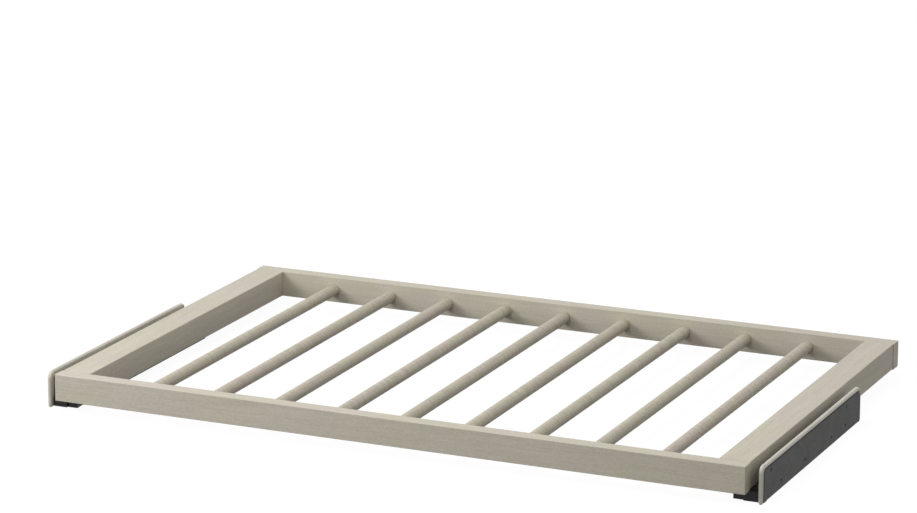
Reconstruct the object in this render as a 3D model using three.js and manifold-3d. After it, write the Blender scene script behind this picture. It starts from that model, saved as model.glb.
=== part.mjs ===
// Pull out trouser rack for a wardrobe: a shallow wooden frame with nine cross rods, carried at each
// side by a three member ball bearing runner that lies flat on a steel bracket.
// Millimetres. +X is right, +Y is back and +Z is up. The origin is at the middle of the footprint, on
// the lowest plane of the part. The rack is drawn pushed home.
import * as THREE from "three";
import { mergeVertices } from "three/addons/utils/BufferGeometryUtils.js";
import Module from "manifold-3d";

const wasm = await Module();
wasm.setup();

// Frame of the rack
const rackWidth = 928;
const rackDepth = 584;
const rackUnderside = 14;
const railHeight = 35;
const endRailThickness = 19;
const sideRailWidth = 39;
const sideRailLift = 0.6;
const endRailOverhang = 1.2;
const railEdgeRadius = 0.8;

// Rods
const rodCount = 9;
const rodDiameter = 16;
const rodSideMargin = 78.6;
const rodSeatDepth = 9;

// Dowels in the four corners
const dowelDiameter = 8;
const dowelLength = 28;
const dowelSeatDepth = 11;
const dowelSpacing = 18;
const dowelChamfer = 1;

// Clearances
const seatGap = 0.3;
const rollingGap = 0.45;
const movingGap = 0.6;
const cutOverrun = 1;

// Side brackets: a folded plate with a moulded cover along its front and top edges
const bracketGap = 12.2;
const bracketSetback = 11;
const bracketLength = 363;
const plateThickness = 1.5;
const plateLift = 1.2;
const plateBackCornerRadius = 4;
const plateHoleDiameter = 4.4;
const plateSinkDiameter = 6.8;
const plateSinkDepth = 1.1;
const plateUpperRow = 34.3;
const plateLowerRow = 10.6;
const upperHoleShares = [0.081, 0.848];
const lowerHoleShares = [0.184, 0.423, 0.694, 0.842];
const coverWidth = 5.7;
const coverTopDrop = 1.2;
const coverCrown = 2.8;
const coverCurl = 36 * Math.PI / 180;
const coverCornerRadius = 10;
const coverLegDepth = 8;
const coverLipThickness = 0.7;
const coverLipGap = 1.8;
const coverEndRadius = 9;
const coverTipRadius = 3;

// Runners, with each member a channel rolled from strip
const stripGauge = 1.2;
const middleLegGauge = 1.4;
const runnerOffset = 1.8;
const runnerWidth = 34.4;
const runnerFrontSetback = 28;
const cabinetLegHeight = 9.4;
const middleLegHeight = 7.8;
const rackTravel = 350;
const rackChannelSetback = 64;
const ballDiameter = 3;
const ballGap = 2.4;
const ballGrooveDepth = 0.45;
const ballGrooveMouth = 2.6;
const ballGrooveFloor = 1.4;
const cageGauge = 0.5;
const cageLegHeight = 6.6;
const cageEndMargin = 9;
const ballsPerRow = 4;
const outerBallRise = 6.2;
const innerBallRise = 5.2;
const bumperThickness = 3.2;
const bumperHeight = 7;
const bumperEdgeRadius = 1.2;

// Rivets that hold the cabinet channel to the bracket
const rivetDiameter = 4;
const rivetHeadDiameter = 8;
const rivetHeadHeight = 0.7;
const rivetFlushHeadDiameter = 6.4;
const rivetFlushHeadHeight = 0.3;
const rivetSetback = 62;

// Peg that locates the back of the frame on the rack channel
const pegDiameter = 5;
const pegHeadDiameter = 7.4;
const pegHeadHeight = 1.6;
const pegReach = 11;
const pegBackMargin = 16;
const pegSideMargin = 5.9;

// Catch that locks the front of the frame to the rack channel
const catchFloor = 1.6;
const catchSetback = 16;
const catchOverhang = 1.3;
const catchBlockDepth = 10;
const catchBridgeDrop = 1.8;
const apronThickness = 1;
const apronLap = 2.3;
const apronGap = 1.6;
const tongueWidth = 18;
const tongueThickness = 3;
const tongueEndGap = 2;
const screwDiameter = 3;
const screwHeadDiameter = 6;
const screwHeadHeight = 1.5;
const screwReach = 10;
const screwSideMargin = 6.9;
const screwPivotSteps = [-5.5, 12];
const leverThickness = 2.4;
const leverTabWidth = 15.8;
const leverTabDepth = 6.6;
const leverNeckWidth = 5;
const leverArmWidth = 6;
const leverTailWidth = 5;
const leverPivotSetback = 44;
const leverPivotShift = 2;
const leverBossDiameter = 8;
const leverToothLength = 5;
const leverToothReach = 1;
const leverTailReach = 31;
const leverPress = 8 * Math.PI / 180;
const pinDiameter = 3;
const pinHeadDiameter = 5;
const pinHeadHeight = 0.8;

// Fineness of round shapes, and the distance within which two vertices are one
const rodFacets = 24;
const holeFacets = 12;
const ballFacets = 6;
const ballRings = 4;
const cornerSteps = 2;
const bendSteps = 5;
const weldDistance = 1e-5;

// Heights and setbacks that follow from the sizes above
const rackTop = rackUnderside + railHeight;
const rodHeight = rackUnderside + railHeight / 2;
const sideRailUnderside = rackUnderside + sideRailLift;
const sideRailHeight = railHeight - sideRailLift;
const frontFace = -rackDepth / 2;
const coverTop = rackTop - coverTopDrop;
const plateOuterFace = rackWidth / 2 + bracketGap + coverWidth;
const plateInnerFace = plateOuterFace - plateThickness;
const bracketBack = bracketSetback + bracketLength;
const coverLipDepth = coverCrown * (1 + Math.sin(coverCurl));
const coverCurlInset = coverWidth / 2 * (1 - Math.cos(coverCurl));
const joggle = coverCurlInset + coverLipThickness + seatGap;
const dowelHeight = sideRailUnderside + sideRailHeight / 2;
const sideRailInnerFace = rackWidth / 2 - endRailOverhang - sideRailWidth;
const rodPitch = 2 * (sideRailInnerFace - rodSideMargin) / (rodCount - 1);

// Distances inward from the bracket's inner face
const rackSideInset = plateInnerFace - rackWidth / 2;
const sideRailInset = rackSideInset + endRailOverhang;
const coverInset = coverWidth - plateThickness;
const middleInset = runnerOffset + stripGauge + ballGap;
const rackChannelInset = middleInset + middleLegGauge + ballGap;
const runnerMiddle = runnerOffset + runnerWidth / 2;
const leverPivotInset = runnerMiddle - leverPivotShift;
const tabInner = runnerOffset + runnerWidth + catchOverhang;
const tabOuter = tabInner - leverTabWidth;

// Heights of the runner's layers
const flangeTop = plateLift + plateThickness;
const cabinetBase = flangeTop + seatGap;
const layerStep = stripGauge + 2 * rollingGap + cageGauge;
const middleBase = cabinetBase + layerStep;
const rackChannelFoot = middleBase + layerStep;
const rackChannelTop = sideRailUnderside - seatGap;
const outerBallHeight = cabinetBase + outerBallRise;
const innerBallHeight = middleBase + innerBallRise;
const tongueFoot = rackChannelTop - tongueThickness;
const leverHead = tongueFoot - seatGap;
const leverFoot = leverHead - leverThickness;

// Setbacks from the rack's front face
const tabFront = catchSetback + apronThickness + apronGap;
const tabBack = tabFront + leverTabDepth;
const runnerBack = bracketBack - bumperThickness - movingGap;
const pegSetback = runnerBack - pegBackMargin;
const screwSetbacks = screwPivotSteps.map((step) => leverPivotSetback + step);
const rivetSetbacks = [rivetSetback, bracketBack - rivetSetback];
const cageTravel = rackTravel / 4;
const cageFront = runnerFrontSetback + cageTravel + cageEndMargin;
const cageBack = runnerBack - cageTravel - cageEndMargin;

const colours = {
  foil: { color: 0xc2bcaa, roughness: 0.6, metalness: 0 },
  coverPlastic: { color: 0xc6c0b0, roughness: 0.5, metalness: 0 },
  plateSteel: { color: 0x4c4c4e, roughness: 0.5, metalness: 0.3 },
  runnerSteel: { color: 0x242426, roughness: 0.4, metalness: 0.6 },
  cageSteel: { color: 0x9a9a98, roughness: 0.35, metalness: 0.9 },
  zinc: { color: 0xb4b4b0, roughness: 0.35, metalness: 0.9 },
  blackPlastic: { color: 0x18181a, roughness: 0.45, metalness: 0 },
  beech: { color: 0xcaa878, roughness: 0.7, metalness: 0 },
};

function solidOf(geometry) {
  const bare = geometry.index ? geometry.toNonIndexed() : geometry.clone();
  bare.deleteAttribute("normal");
  bare.deleteAttribute("uv");
  const merged = mergeVertices(bare, weldDistance);
  return new wasm.Manifold(new wasm.Mesh({
    numProp: 3,
    vertProperties: Float32Array.from(merged.attributes.position.array),
    triVerts: Uint32Array.from(merged.index.array),
  }));
}

function geometryOf(solid) {
  const mesh = solid.getMesh();
  const geometry = new THREE.BufferGeometry();
  geometry.setAttribute("position", new THREE.BufferAttribute(Float32Array.from(mesh.vertProperties), 3));
  geometry.setIndex(Array.from(mesh.triVerts));
  geometry.computeVertexNormals();
  return geometry;
}

function united(solids) {
  return solids.reduce((whole, solid) => whole.add(solid));
}

function cutBy(solid, cutters) {
  return cutters.reduce((rest, cutter) => rest.subtract(cutter), solid);
}

function block(x0, x1, y0, y1, z0, z1) {
  const geometry = new THREE.BoxGeometry(x1 - x0, y1 - y0, z1 - z0);
  return solidOf(geometry.translate((x0 + x1) / 2, (y0 + y1) / 2, (z0 + z1) / 2));
}

// Outlines are Vector2 lists. The three extrusions differ in the plane that the outline lies in.
function extruded(outline, length, xAxis, yAxis, zAxis) {
  const shape = outline instanceof THREE.Shape ? outline : new THREE.Shape(outline);
  const geometry = new THREE.ExtrudeGeometry(shape, {
    depth: length, bevelEnabled: false, curveSegments: cornerSteps,
  });
  const basis = new THREE.Matrix4().makeBasis(
    new THREE.Vector3(...xAxis), new THREE.Vector3(...yAxis), new THREE.Vector3(...zAxis));
  return geometry.applyMatrix4(basis);
}

function alongX(outline, x0, x1) {
  const geometry = extruded(outline, x1 - x0, [0, 1, 0], [0, 0, 1], [1, 0, 0]);
  return solidOf(geometry.translate(x0, 0, 0));
}

function alongY(outline, y0, y1) {
  const geometry = extruded(outline, y1 - y0, [1, 0, 0], [0, 0, 1], [0, -1, 0]);
  return solidOf(geometry.translate(0, y1, 0));
}

function alongZ(outline, z0, z1) {
  const geometry = extruded(outline, z1 - z0, [1, 0, 0], [0, 1, 0], [0, 0, 1]);
  return solidOf(geometry.translate(0, 0, z0));
}

function roundedRectangle(x0, x1, y0, y1, radius) {
  const shape = new THREE.Shape();
  shape.moveTo(x0 + radius, y0);
  shape.lineTo(x1 - radius, y0);
  shape.absarc(x1 - radius, y0 + radius, radius, -Math.PI / 2, 0);
  shape.lineTo(x1, y1 - radius);
  shape.absarc(x1 - radius, y1 - radius, radius, 0, Math.PI / 2);
  shape.lineTo(x0 + radius, y1);
  shape.absarc(x0 + radius, y1 - radius, radius, Math.PI / 2, Math.PI);
  shape.lineTo(x0, y0 + radius);
  shape.absarc(x0 + radius, y0 + radius, radius, Math.PI, 1.5 * Math.PI);
  return shape;
}

// A turned solid from a list of [radius, height] pairs that starts and ends on the axis.
function turned(profile, facets) {
  return new THREE.LatheGeometry(profile.map(([r, h]) => new THREE.Vector2(r, h)), facets);
}

function pillar(x, y, z0, z1, diameter, facets = holeFacets) {
  const radius = diameter / 2;
  const geometry = turned([[0, z0], [radius, z0], [radius, z1], [0, z1]], facets);
  return solidOf(geometry.rotateX(Math.PI / 2).translate(x, y, 0));
}

function barAlongY(x, z, y0, y1, diameter, facets = holeFacets) {
  const radius = diameter / 2;
  const geometry = turned([[0, y0], [radius, y0], [radius, y1], [0, y1]], facets);
  return solidOf(geometry.translate(x, 0, z));
}

// A solid turned round a line along X, from an outline of [radius, X] pairs.
function turnedAlongX(outline, y, z, facets = holeFacets) {
  return solidOf(turned(outline, facets).rotateZ(-Math.PI / 2).translate(0, y, z));
}

function named(name, geometry, finish) {
  const mesh = new THREE.Mesh(geometry, new THREE.MeshStandardMaterial(finish));
  mesh.name = name;
  return mesh;
}

function mirroredAcrossX(geometry) {
  const flipped = geometry.clone().scale(-1, 1, 1);
  const order = Array.from(flipped.index.array);
  for (let i = 0; i < order.length; i += 3) {
    [order[i], order[i + 1]] = [order[i + 1], order[i]];
  }
  flipped.setIndex(order);
  flipped.computeVertexNormals();
  return flipped;
}

// Frame: places are measured from the middle of the rack and, in Y, from its front face

function rodPlaces() {
  return Array.from({ length: rodCount }, (_, i) => (i - (rodCount - 1) / 2) * rodPitch);
}

function dowelPlaces(side) {
  const railMiddle = sideRailInnerFace + sideRailWidth / 2;
  return [-dowelSpacing / 2, dowelSpacing / 2].map((step) => side * (railMiddle + step));
}

// The end rail has blind holes in one long face, for the rods and the dowels. It is drawn as the front
// rail and turned round for the back.
function endRail() {
  const section = roundedRectangle(0, endRailThickness, rackUnderside, rackTop, railEdgeRadius);
  const rail = alongX(section, -rackWidth / 2, rackWidth / 2);
  const face = endRailThickness + cutOverrun;
  const rodHoles = rodPlaces().map((x) => barAlongY(
    x, rodHeight, endRailThickness - rodSeatDepth - seatGap, face, rodDiameter + 2 * seatGap, rodFacets));
  const dowelHoles = [-1, 1].flatMap(dowelPlaces).map((x) => barAlongY(
    x, dowelHeight, endRailThickness - dowelSeatDepth - seatGap, face, dowelDiameter + 2 * seatGap));
  return geometryOf(cutBy(rail, [...rodHoles, ...dowelHoles]));
}

// The side rail stands between the end rails. It is drawn from its outer face inward, for the left.
function sideRail() {
  const section = roundedRectangle(0, sideRailWidth, sideRailUnderside, rackTop, railEdgeRadius);
  const front = endRailThickness + seatGap;
  const back = rackDepth - front;
  const depth = dowelLength - dowelSeatDepth;
  const middle = sideRailWidth / 2;
  const holes = [];
  for (const x of [middle - dowelSpacing / 2, middle + dowelSpacing / 2]) {
    const across = dowelDiameter + 2 * seatGap;
    holes.push(barAlongY(x, dowelHeight, front - cutOverrun, front + depth, across));
    holes.push(barAlongY(x, dowelHeight, back - depth, back + cutOverrun, across));
  }
  for (const y of screwSetbacks) {
    holes.push(pillar(screwSideMargin, y, sideRailUnderside - cutOverrun,
      sideRailUnderside + screwReach + seatGap, screwDiameter + 2 * seatGap));
  }
  holes.push(pillar(pegSideMargin, pegSetback, sideRailUnderside - cutOverrun,
    sideRailUnderside + pegReach + seatGap, pegDiameter + 2 * seatGap));
  return geometryOf(cutBy(alongY(section, front, back), holes));
}

function rod() {
  const radius = rodDiameter / 2;
  const start = endRailThickness - rodSeatDepth;
  const end = rackDepth - start;
  return turned([[0, start], [radius, start], [radius, end], [0, end]], rodFacets);
}

function dowel() {
  const radius = dowelDiameter / 2;
  const neck = radius - dowelChamfer;
  return turned([[0, 0], [neck, 0], [radius, dowelChamfer], [radius, dowelLength - dowelChamfer],
    [neck, dowelLength], [0, dowelLength]], holeFacets);
}

function addFrame(group) {
  const rails = endRail();
  group.add(named("front_rail", rails, colours.foil));
  const backRail = named("back_rail", rails.clone(), colours.foil);
  backRail.rotation.z = Math.PI;
  backRail.position.y = rackDepth;
  group.add(backRail);

  const leftRail = sideRail();
  const outerFace = rackWidth / 2 - endRailOverhang;
  for (const [name, side, shape] of [["left", -1, leftRail], ["right", 1, mirroredAcrossX(leftRail)]]) {
    const rail = named(`${name}_side_rail`, shape, colours.foil);
    rail.position.x = side * outerFace;
    group.add(rail);
    dowelPlaces(side).forEach((x, i) => {
      const place = i === (side < 0 ? 0 : 1) ? "outer" : "inner";
      for (const [end, y] of [["front", endRailThickness - dowelSeatDepth],
        ["back", rackDepth - endRailThickness + dowelSeatDepth - dowelLength]]) {
        const pin = named(`${name}_${end}_dowel_${place}`, dowel(), colours.beech);
        pin.position.set(x, y, dowelHeight);
        group.add(pin);
      }
    });
  }

  rodPlaces().forEach((x, i) => {
    const bar = named(`rod_${i + 1}`, rod(), colours.foil);
    bar.position.set(x, 0, rodHeight);
    group.add(bar);
  });
}

// Brackets and runners: drawn for the left side, with X inward from the plate's inner face, Y from the
// rack's front face and Z from the lowest plane of the part

// The plate's outline in its own plane, drawn a given distance inside the cover's outer edge. The back
// end and the foot stay where they are. The back of the top follows the cover's round end.
function plateOutline(inset) {
  const front = bracketSetback + inset;
  const top = coverTop - inset;
  const radius = coverCornerRadius - inset;
  const corner = plateBackCornerRadius;
  const end = coverEndRadius;
  const shape = new THREE.Shape();
  shape.moveTo(front, plateLift);
  shape.lineTo(bracketBack - corner, plateLift);
  shape.absarc(bracketBack - corner, plateLift + corner, corner, -Math.PI / 2, 0);
  shape.lineTo(bracketBack, top - end);
  shape.absarc(bracketBack - end, top - end, end, 0, Math.PI / 2);
  shape.lineTo(front + radius, top);
  if (radius > 0) {
    shape.absarc(front + radius, top - radius, radius, Math.PI / 2, Math.PI);
  }
  return shape;
}

// The plate's rim is joggled inward along the front and the top, so that it runs into the cover's slot
// behind the lip. A flange at the foot carries the runner. The screw holes are countersunk on that side.
function bracketPlate() {
  const rimInset = coverCrown + seatGap;
  const faceInset = coverLipDepth + coverLipGap;
  const hollowInset = faceInset + plateThickness;
  const rim = alongX(plateOutline(rimInset), -plateThickness + joggle, joggle);
  const face = alongX(plateOutline(faceInset), -plateThickness, joggle);
  const hollow = block(0, joggle + cutOverrun, bracketSetback + hollowInset, bracketBack + cutOverrun,
    plateLift - cutOverrun, coverTop - hollowInset);
  const flange = block(-plateThickness / 2, runnerOffset + runnerWidth, runnerFrontSetback - movingGap,
    bracketBack - plateBackCornerRadius, plateLift, flangeTop);
  const radius = plateHoleDiameter / 2;
  const sinkRadius = plateSinkDiameter / 2;
  const outside = -plateThickness - cutOverrun;
  const screwHole = [[0, outside], [radius, outside], [radius, -plateSinkDepth], [sinkRadius, 0],
    [sinkRadius, cutOverrun], [0, cutOverrun]];
  const holeAt = (share, height) => turnedAlongX(screwHole, bracketSetback + share * bracketLength,
    plateLift + height);
  const holes = [
    ...upperHoleShares.map((share) => holeAt(share, plateUpperRow)),
    ...lowerHoleShares.map((share) => holeAt(share, plateLowerRow)),
    ...rivetSetbacks.map((y) => pillar(runnerMiddle, y, plateLift - cutOverrun, flangeTop + cutOverrun,
      rivetDiameter + 2 * seatGap)),
  ];
  return geometryOf(cutBy(cutBy(united([rim, face]), [hollow]).add(flange), holes));
}

// The cover's section, as [distance inward from the cover's outer edge, X] pairs: a round crown that
// curls in to a thin lip at its outer side, a slot for the plate's rim and a thick inner leg.
function coverSection() {
  const inner = coverInset;
  const outer = -plateThickness;
  const slotInner = joggle + seatGap;
  const slotOuter = outer + coverCurlInset + coverLipThickness;
  const radius = coverWidth / 2;
  const middle = (inner + outer) / 2;
  const steps = bendSteps + 1;
  const crown = Array.from({ length: steps + 1 }, (_, i) => {
    const angle = (Math.PI + coverCurl) * i / steps;
    return [coverCrown * (1 - Math.sin(angle)), middle + radius * Math.cos(angle)];
  });
  return [...crown, [coverLipDepth, slotOuter], [coverCrown, slotOuter], [coverCrown, slotInner],
    [coverLegDepth, slotInner], [coverLegDepth, inner]];
}

// Stations along the cover: a point on its outer edge and the direction inward from there. They run up
// the front, round the corner and along the top, and draw in at both ends.
function coverStations() {
  const stations = [];
  const add = (y, z, inY, inZ) => stations.push({ y, z, inY, inZ });
  const front = bracketSetback;
  add(front, 0, 1, 0);
  for (let i = 0; i <= bendSteps; i += 1) {
    const angle = Math.PI / 2 * i / bendSteps;
    add(front + coverCornerRadius * (1 - Math.cos(angle)),
      coverTop - coverCornerRadius * (1 - Math.sin(angle)), Math.cos(angle), -Math.sin(angle));
  }
  add(bracketBack, coverTop, 0, -1);
  return stations;
}

// A closed skin over one section carried through the stations, with a cap at each end.
function swept(section, stations) {
  const ring = section.length;
  const points = stations.flatMap(({ y, z, inY, inZ }) =>
    section.map(([depth, x]) => [x, y + depth * inY, z + depth * inZ]));
  const triangles = [];
  for (let s = 0; s < stations.length - 1; s += 1) {
    for (let i = 0; i < ring; i += 1) {
      const a = s * ring + i;
      const b = s * ring + (i + 1) % ring;
      triangles.push([a, a + ring, b], [b, a + ring, b + ring]);
    }
  }
  const outline = section.map(([depth, x]) => new THREE.Vector2(x, depth));
  const cap = THREE.ShapeUtils.triangulateShape(outline, []);
  const last = (stations.length - 1) * ring;
  for (const [a, b, c] of cap) {
    triangles.push([a, c, b], [last + a, last + b, last + c]);
  }
  const geometry = new THREE.BufferGeometry();
  geometry.setAttribute("position", new THREE.Float32BufferAttribute(points.flat(), 3));
  geometry.setIndex(triangles.flat());
  return geometry;
}

// The back end and the tip are trimmed to a quarter round.
function bracketCover() {
  const skin = solidOf(swept(coverSection(), coverStations()));
  const trim = (y, z, toY, toZ, radius) => {
    const corner = new THREE.Shape();
    corner.moveTo(y + toY * cutOverrun, z + toZ * cutOverrun);
    corner.lineTo(y - toY * radius, z + toZ * cutOverrun);
    for (let i = 0; i <= bendSteps; i += 1) {
      const angle = Math.PI / 2 * i / bendSteps;
      corner.lineTo(y - toY * radius * (1 - Math.sin(angle)), z - toZ * radius * (1 - Math.cos(angle)));
    }
    corner.lineTo(y + toY * cutOverrun, z - toZ * radius);
    return alongX(corner, -plateThickness - cutOverrun, coverInset + cutOverrun);
  };
  return geometryOf(cutBy(skin, [trim(bracketBack, coverTop, 1, 1, coverEndRadius),
    trim(bracketSetback, 0, -1, -1, coverTipRadius)]));
}

// The points of a ball groove in a channel's leg, from the foot of the groove to its head. The groove
// is cut towards plus or minus X from the leg's face.
function groove(face, height, towards) {
  const floor = face + towards * ballGrooveDepth;
  return [[face, height - ballGrooveMouth / 2], [floor, height - ballGrooveFloor / 2],
    [floor, height + ballGrooveFloor / 2], [face, height + ballGrooveMouth / 2]];
}

function mirroredPoints(points, middle) {
  return points.map(([x, z]) => [2 * middle - x, z]).reverse();
}

function channel(leftHalf, y0, y1) {
  const points = [...leftHalf, ...mirroredPoints(leftHalf, runnerMiddle)];
  return alongY(points.map(([x, z]) => new THREE.Vector2(x, z)), y0, y1);
}

// Each half section runs from the middle of the channel's base, round its leg and back.
function cabinetChannel() {
  const outer = runnerOffset;
  const inner = outer + stripGauge;
  const head = cabinetBase + cabinetLegHeight;
  const half = [[outer, cabinetBase], [outer, head], [inner, head],
    ...groove(inner, outerBallHeight, -1).reverse(), [inner, cabinetBase + stripGauge]].reverse();
  const body = channel(half, runnerFrontSetback, bracketBack - seatGap);
  const holes = rivetSetbacks.flatMap((y) => [
    pillar(runnerMiddle, y, cabinetBase - cutOverrun, cabinetBase + stripGauge + cutOverrun,
      rivetDiameter + 2 * seatGap),
    pillar(runnerMiddle, y, cabinetBase + stripGauge - rivetFlushHeadHeight - seatGap,
      cabinetBase + stripGauge + cutOverrun, rivetFlushHeadDiameter + 2 * seatGap),
  ]);
  return geometryOf(cutBy(body, holes));
}

function middleChannel() {
  const outer = middleInset;
  const inner = outer + middleLegGauge;
  const head = middleBase + middleLegHeight;
  const half = [[outer, middleBase], ...groove(outer, outerBallHeight, 1), [outer, head], [inner, head],
    ...groove(inner, innerBallHeight, -1).reverse(), [inner, middleBase + stripGauge]].reverse();
  return geometryOf(channel(half, runnerFrontSetback, runnerBack));
}

// The rack channel has its web on top. A window in its outer leg takes the lever's tooth, and a hole in
// its web takes the peg.
function rackChannel() {
  const outer = rackChannelInset;
  const inner = outer + stripGauge;
  const web = rackChannelTop - stripGauge;
  const half = [[inner, web], [inner, rackChannelFoot], [outer, rackChannelFoot],
    ...groove(outer, innerBallHeight, 1), [outer, rackChannelTop]].reverse();
  const body = channel(half, rackChannelSetback, runnerBack);
  const toothFront = leverPivotSetback + leverTailReach - leverToothLength;
  const window = block(outer - cutOverrun, inner + cutOverrun, toothFront - movingGap,
    leverPivotSetback + leverTailReach + 2 * movingGap, leverFoot - movingGap, leverHead + movingGap);
  const pegHole = pillar(sideRailInset + pegSideMargin, pegSetback, web - cutOverrun,
    rackChannelTop + cutOverrun, pegDiameter + 2 * seatGap);
  return geometryOf(cutBy(body, [window, pegHole]));
}

// A cage is a thin channel between two members, with a row of balls in each leg.
function ballCage(inset, base, ballHeight) {
  const outer = inset - ballGap / 2 - cageGauge / 2;
  const inner = outer + cageGauge;
  const head = base + cageLegHeight;
  const half = [[outer, base], [outer, head], [inner, head], [inner, base + cageGauge]].reverse();
  const strip = channel(half, cageFront, cageBack);
  const balls = [];
  const pitch = (cageBack - cageFront) / ballsPerRow;
  for (const x of [inset - ballGap / 2, 2 * runnerMiddle - inset + ballGap / 2]) {
    for (let i = 0; i < ballsPerRow; i += 1) {
      const ball = new THREE.SphereGeometry(ballDiameter / 2, ballFacets, ballRings);
      balls.push(solidOf(ball.translate(x, cageFront + (i + 1 / 2) * pitch, ballHeight)));
    }
  }
  return geometryOf(united([strip, ...balls]));
}

function rearBumper() {
  const inset = rackChannelInset;
  const section = roundedRectangle(inset, 2 * runnerMiddle - inset, cabinetBase + stripGauge + seatGap,
    cabinetBase + stripGauge + seatGap + bumperHeight, bumperEdgeRadius);
  return geometryOf(alongY(section, bracketBack - bumperThickness, bracketBack - seatGap));
}

// The rivet's round head is under the flange, and its other head is set flush in the channel's base.
function rivet(y) {
  const shank = rivetDiameter / 2;
  const head = rivetHeadDiameter / 2;
  const flush = rivetFlushHeadDiameter / 2;
  const headTop = plateLift - seatGap;
  const top = cabinetBase + stripGauge;
  const geometry = turned([[0, headTop - rivetHeadHeight],
    [head - rivetHeadHeight, headTop - rivetHeadHeight], [head, headTop], [shank, headTop],
    [shank, top - rivetFlushHeadHeight], [flush, top - rivetFlushHeadHeight], [flush, top], [0, top]],
    holeFacets);
  return geometry.rotateX(Math.PI / 2).translate(runnerMiddle, y, 0);
}

// A headed pin or screw that points up, from the underside of its head.
function headedPin(x, y, headFoot, headHeight, headDiameter, tip, diameter) {
  const shoulder = headFoot + headHeight;
  const geometry = turned([[0, headFoot], [headDiameter / 2, headFoot], [headDiameter / 2, shoulder],
    [diameter / 2, shoulder], [diameter / 2, tip - diameter / 2], [0, tip]], holeFacets);
  return geometry.rotateX(Math.PI / 2).translate(x, y, 0);
}

function rearPeg() {
  const web = rackChannelTop - stripGauge;
  return headedPin(sideRailInset + pegSideMargin, pegSetback, web - seatGap - pegHeadHeight,
    pegHeadHeight, pegHeadDiameter, sideRailUnderside + pegReach, pegDiameter);
}

function catchScrew(y) {
  return headedPin(sideRailInset + screwSideMargin, y, tongueFoot - seatGap - screwHeadHeight,
    screwHeadHeight, screwHeadDiameter, sideRailUnderside + screwReach, screwDiameter);
}

function leverPin() {
  return headedPin(leverPivotInset, leverPivotSetback, leverFoot - seatGap - pinHeadHeight,
    pinHeadHeight, pinHeadDiameter, rackChannelTop - seatGap, pinDiameter);
}

// The catch's body: a block in front of the runner, a thin apron that laps the lever's tab, a bridge
// under the front rail and a tongue that is screwed up into the side rail.
function catchBody() {
  const outer = coverInset + movingGap;
  const inner = tabInner;
  const tabSwing = (leverPivotSetback - tabFront) * Math.sin(leverPress);
  const blockInner = tabOuter - tabSwing - movingGap;
  const back = catchSetback + catchBlockDepth;
  const head = rackUnderside - seatGap;
  const step = endRailThickness + seatGap;
  const front = block(outer, blockInner, catchSetback, back, catchFloor, head);
  const apron = block(outer, tabOuter + apronLap, catchSetback, catchSetback + apronThickness, catchFloor,
    head);
  const bridge = block(outer, inner, catchSetback, back, head - catchBridgeDrop, head);
  const pad = block(sideRailInset, inner, step, back, head - catchBridgeDrop, rackChannelTop);
  const tongue = block(runnerMiddle - tongueWidth / 2, runnerMiddle + tongueWidth / 2, back - cutOverrun,
    rackChannelSetback - tongueEndGap, tongueFoot, rackChannelTop);
  const holes = screwSetbacks.map((y) => pillar(sideRailInset + screwSideMargin, y,
    tongueFoot - cutOverrun, rackChannelTop + cutOverrun, screwDiameter + 2 * seatGap));
  holes.push(pillar(leverPivotInset, leverPivotSetback, tongueFoot - cutOverrun,
    rackChannelTop + cutOverrun, pinDiameter + 2 * seatGap));
  return geometryOf(cutBy(united([front, apron, bridge, pad, tongue]), holes));
}

// The lever turns on the pin. Its tab lies between the apron and the runner, and its tail has a tooth
// that points outward. A swing of leverPress moves the tab outward and draws the tooth in.
function catchLever() {
  const armOuter = leverPivotInset - leverArmWidth / 2;
  const armInner = leverPivotInset + leverArmWidth / 2;
  const tailInner = leverPivotInset + movingGap;
  const tailOuter = tailInner - leverTailWidth;
  const end = leverPivotSetback + leverTailReach;
  const tip = rackChannelInset + stripGauge - leverToothReach;
  const shoulder = runnerFrontSetback + movingGap;
  const neck = tabOuter + leverNeckWidth;
  const neckBack = runnerFrontSetback - movingGap;
  const outline = [[tabOuter, tabBack - cutOverrun], [neck, tabBack - cutOverrun], [neck, neckBack],
    [armInner, neckBack + leverArmWidth / 2], [armInner, leverPivotSetback],
    [tailInner, leverPivotSetback + leverArmWidth], [tailInner, end], [tip, end],
    [tip, end - leverToothLength], [tailOuter, end - leverToothLength - leverToothReach],
    [tailOuter, leverPivotSetback + leverArmWidth], [armOuter, leverPivotSetback],
    [armOuter, shoulder + leverArmWidth / 2], [tabOuter, shoulder - leverArmWidth / 2]];
  const arm = alongZ(outline.map(([x, y]) => new THREE.Vector2(x, y)), leverFoot, leverHead);
  const boss = pillar(leverPivotInset, leverPivotSetback, leverFoot, leverHead, leverBossDiameter);
  const tab = block(tabOuter, tabInner, tabFront, tabBack, catchFloor, leverHead);
  const hole = pillar(leverPivotInset, leverPivotSetback, leverFoot - cutOverrun,
    leverHead + cutOverrun, pinDiameter + 2 * seatGap);
  return geometryOf(cutBy(united([arm, boss, tab]), [hole]));
}

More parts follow.
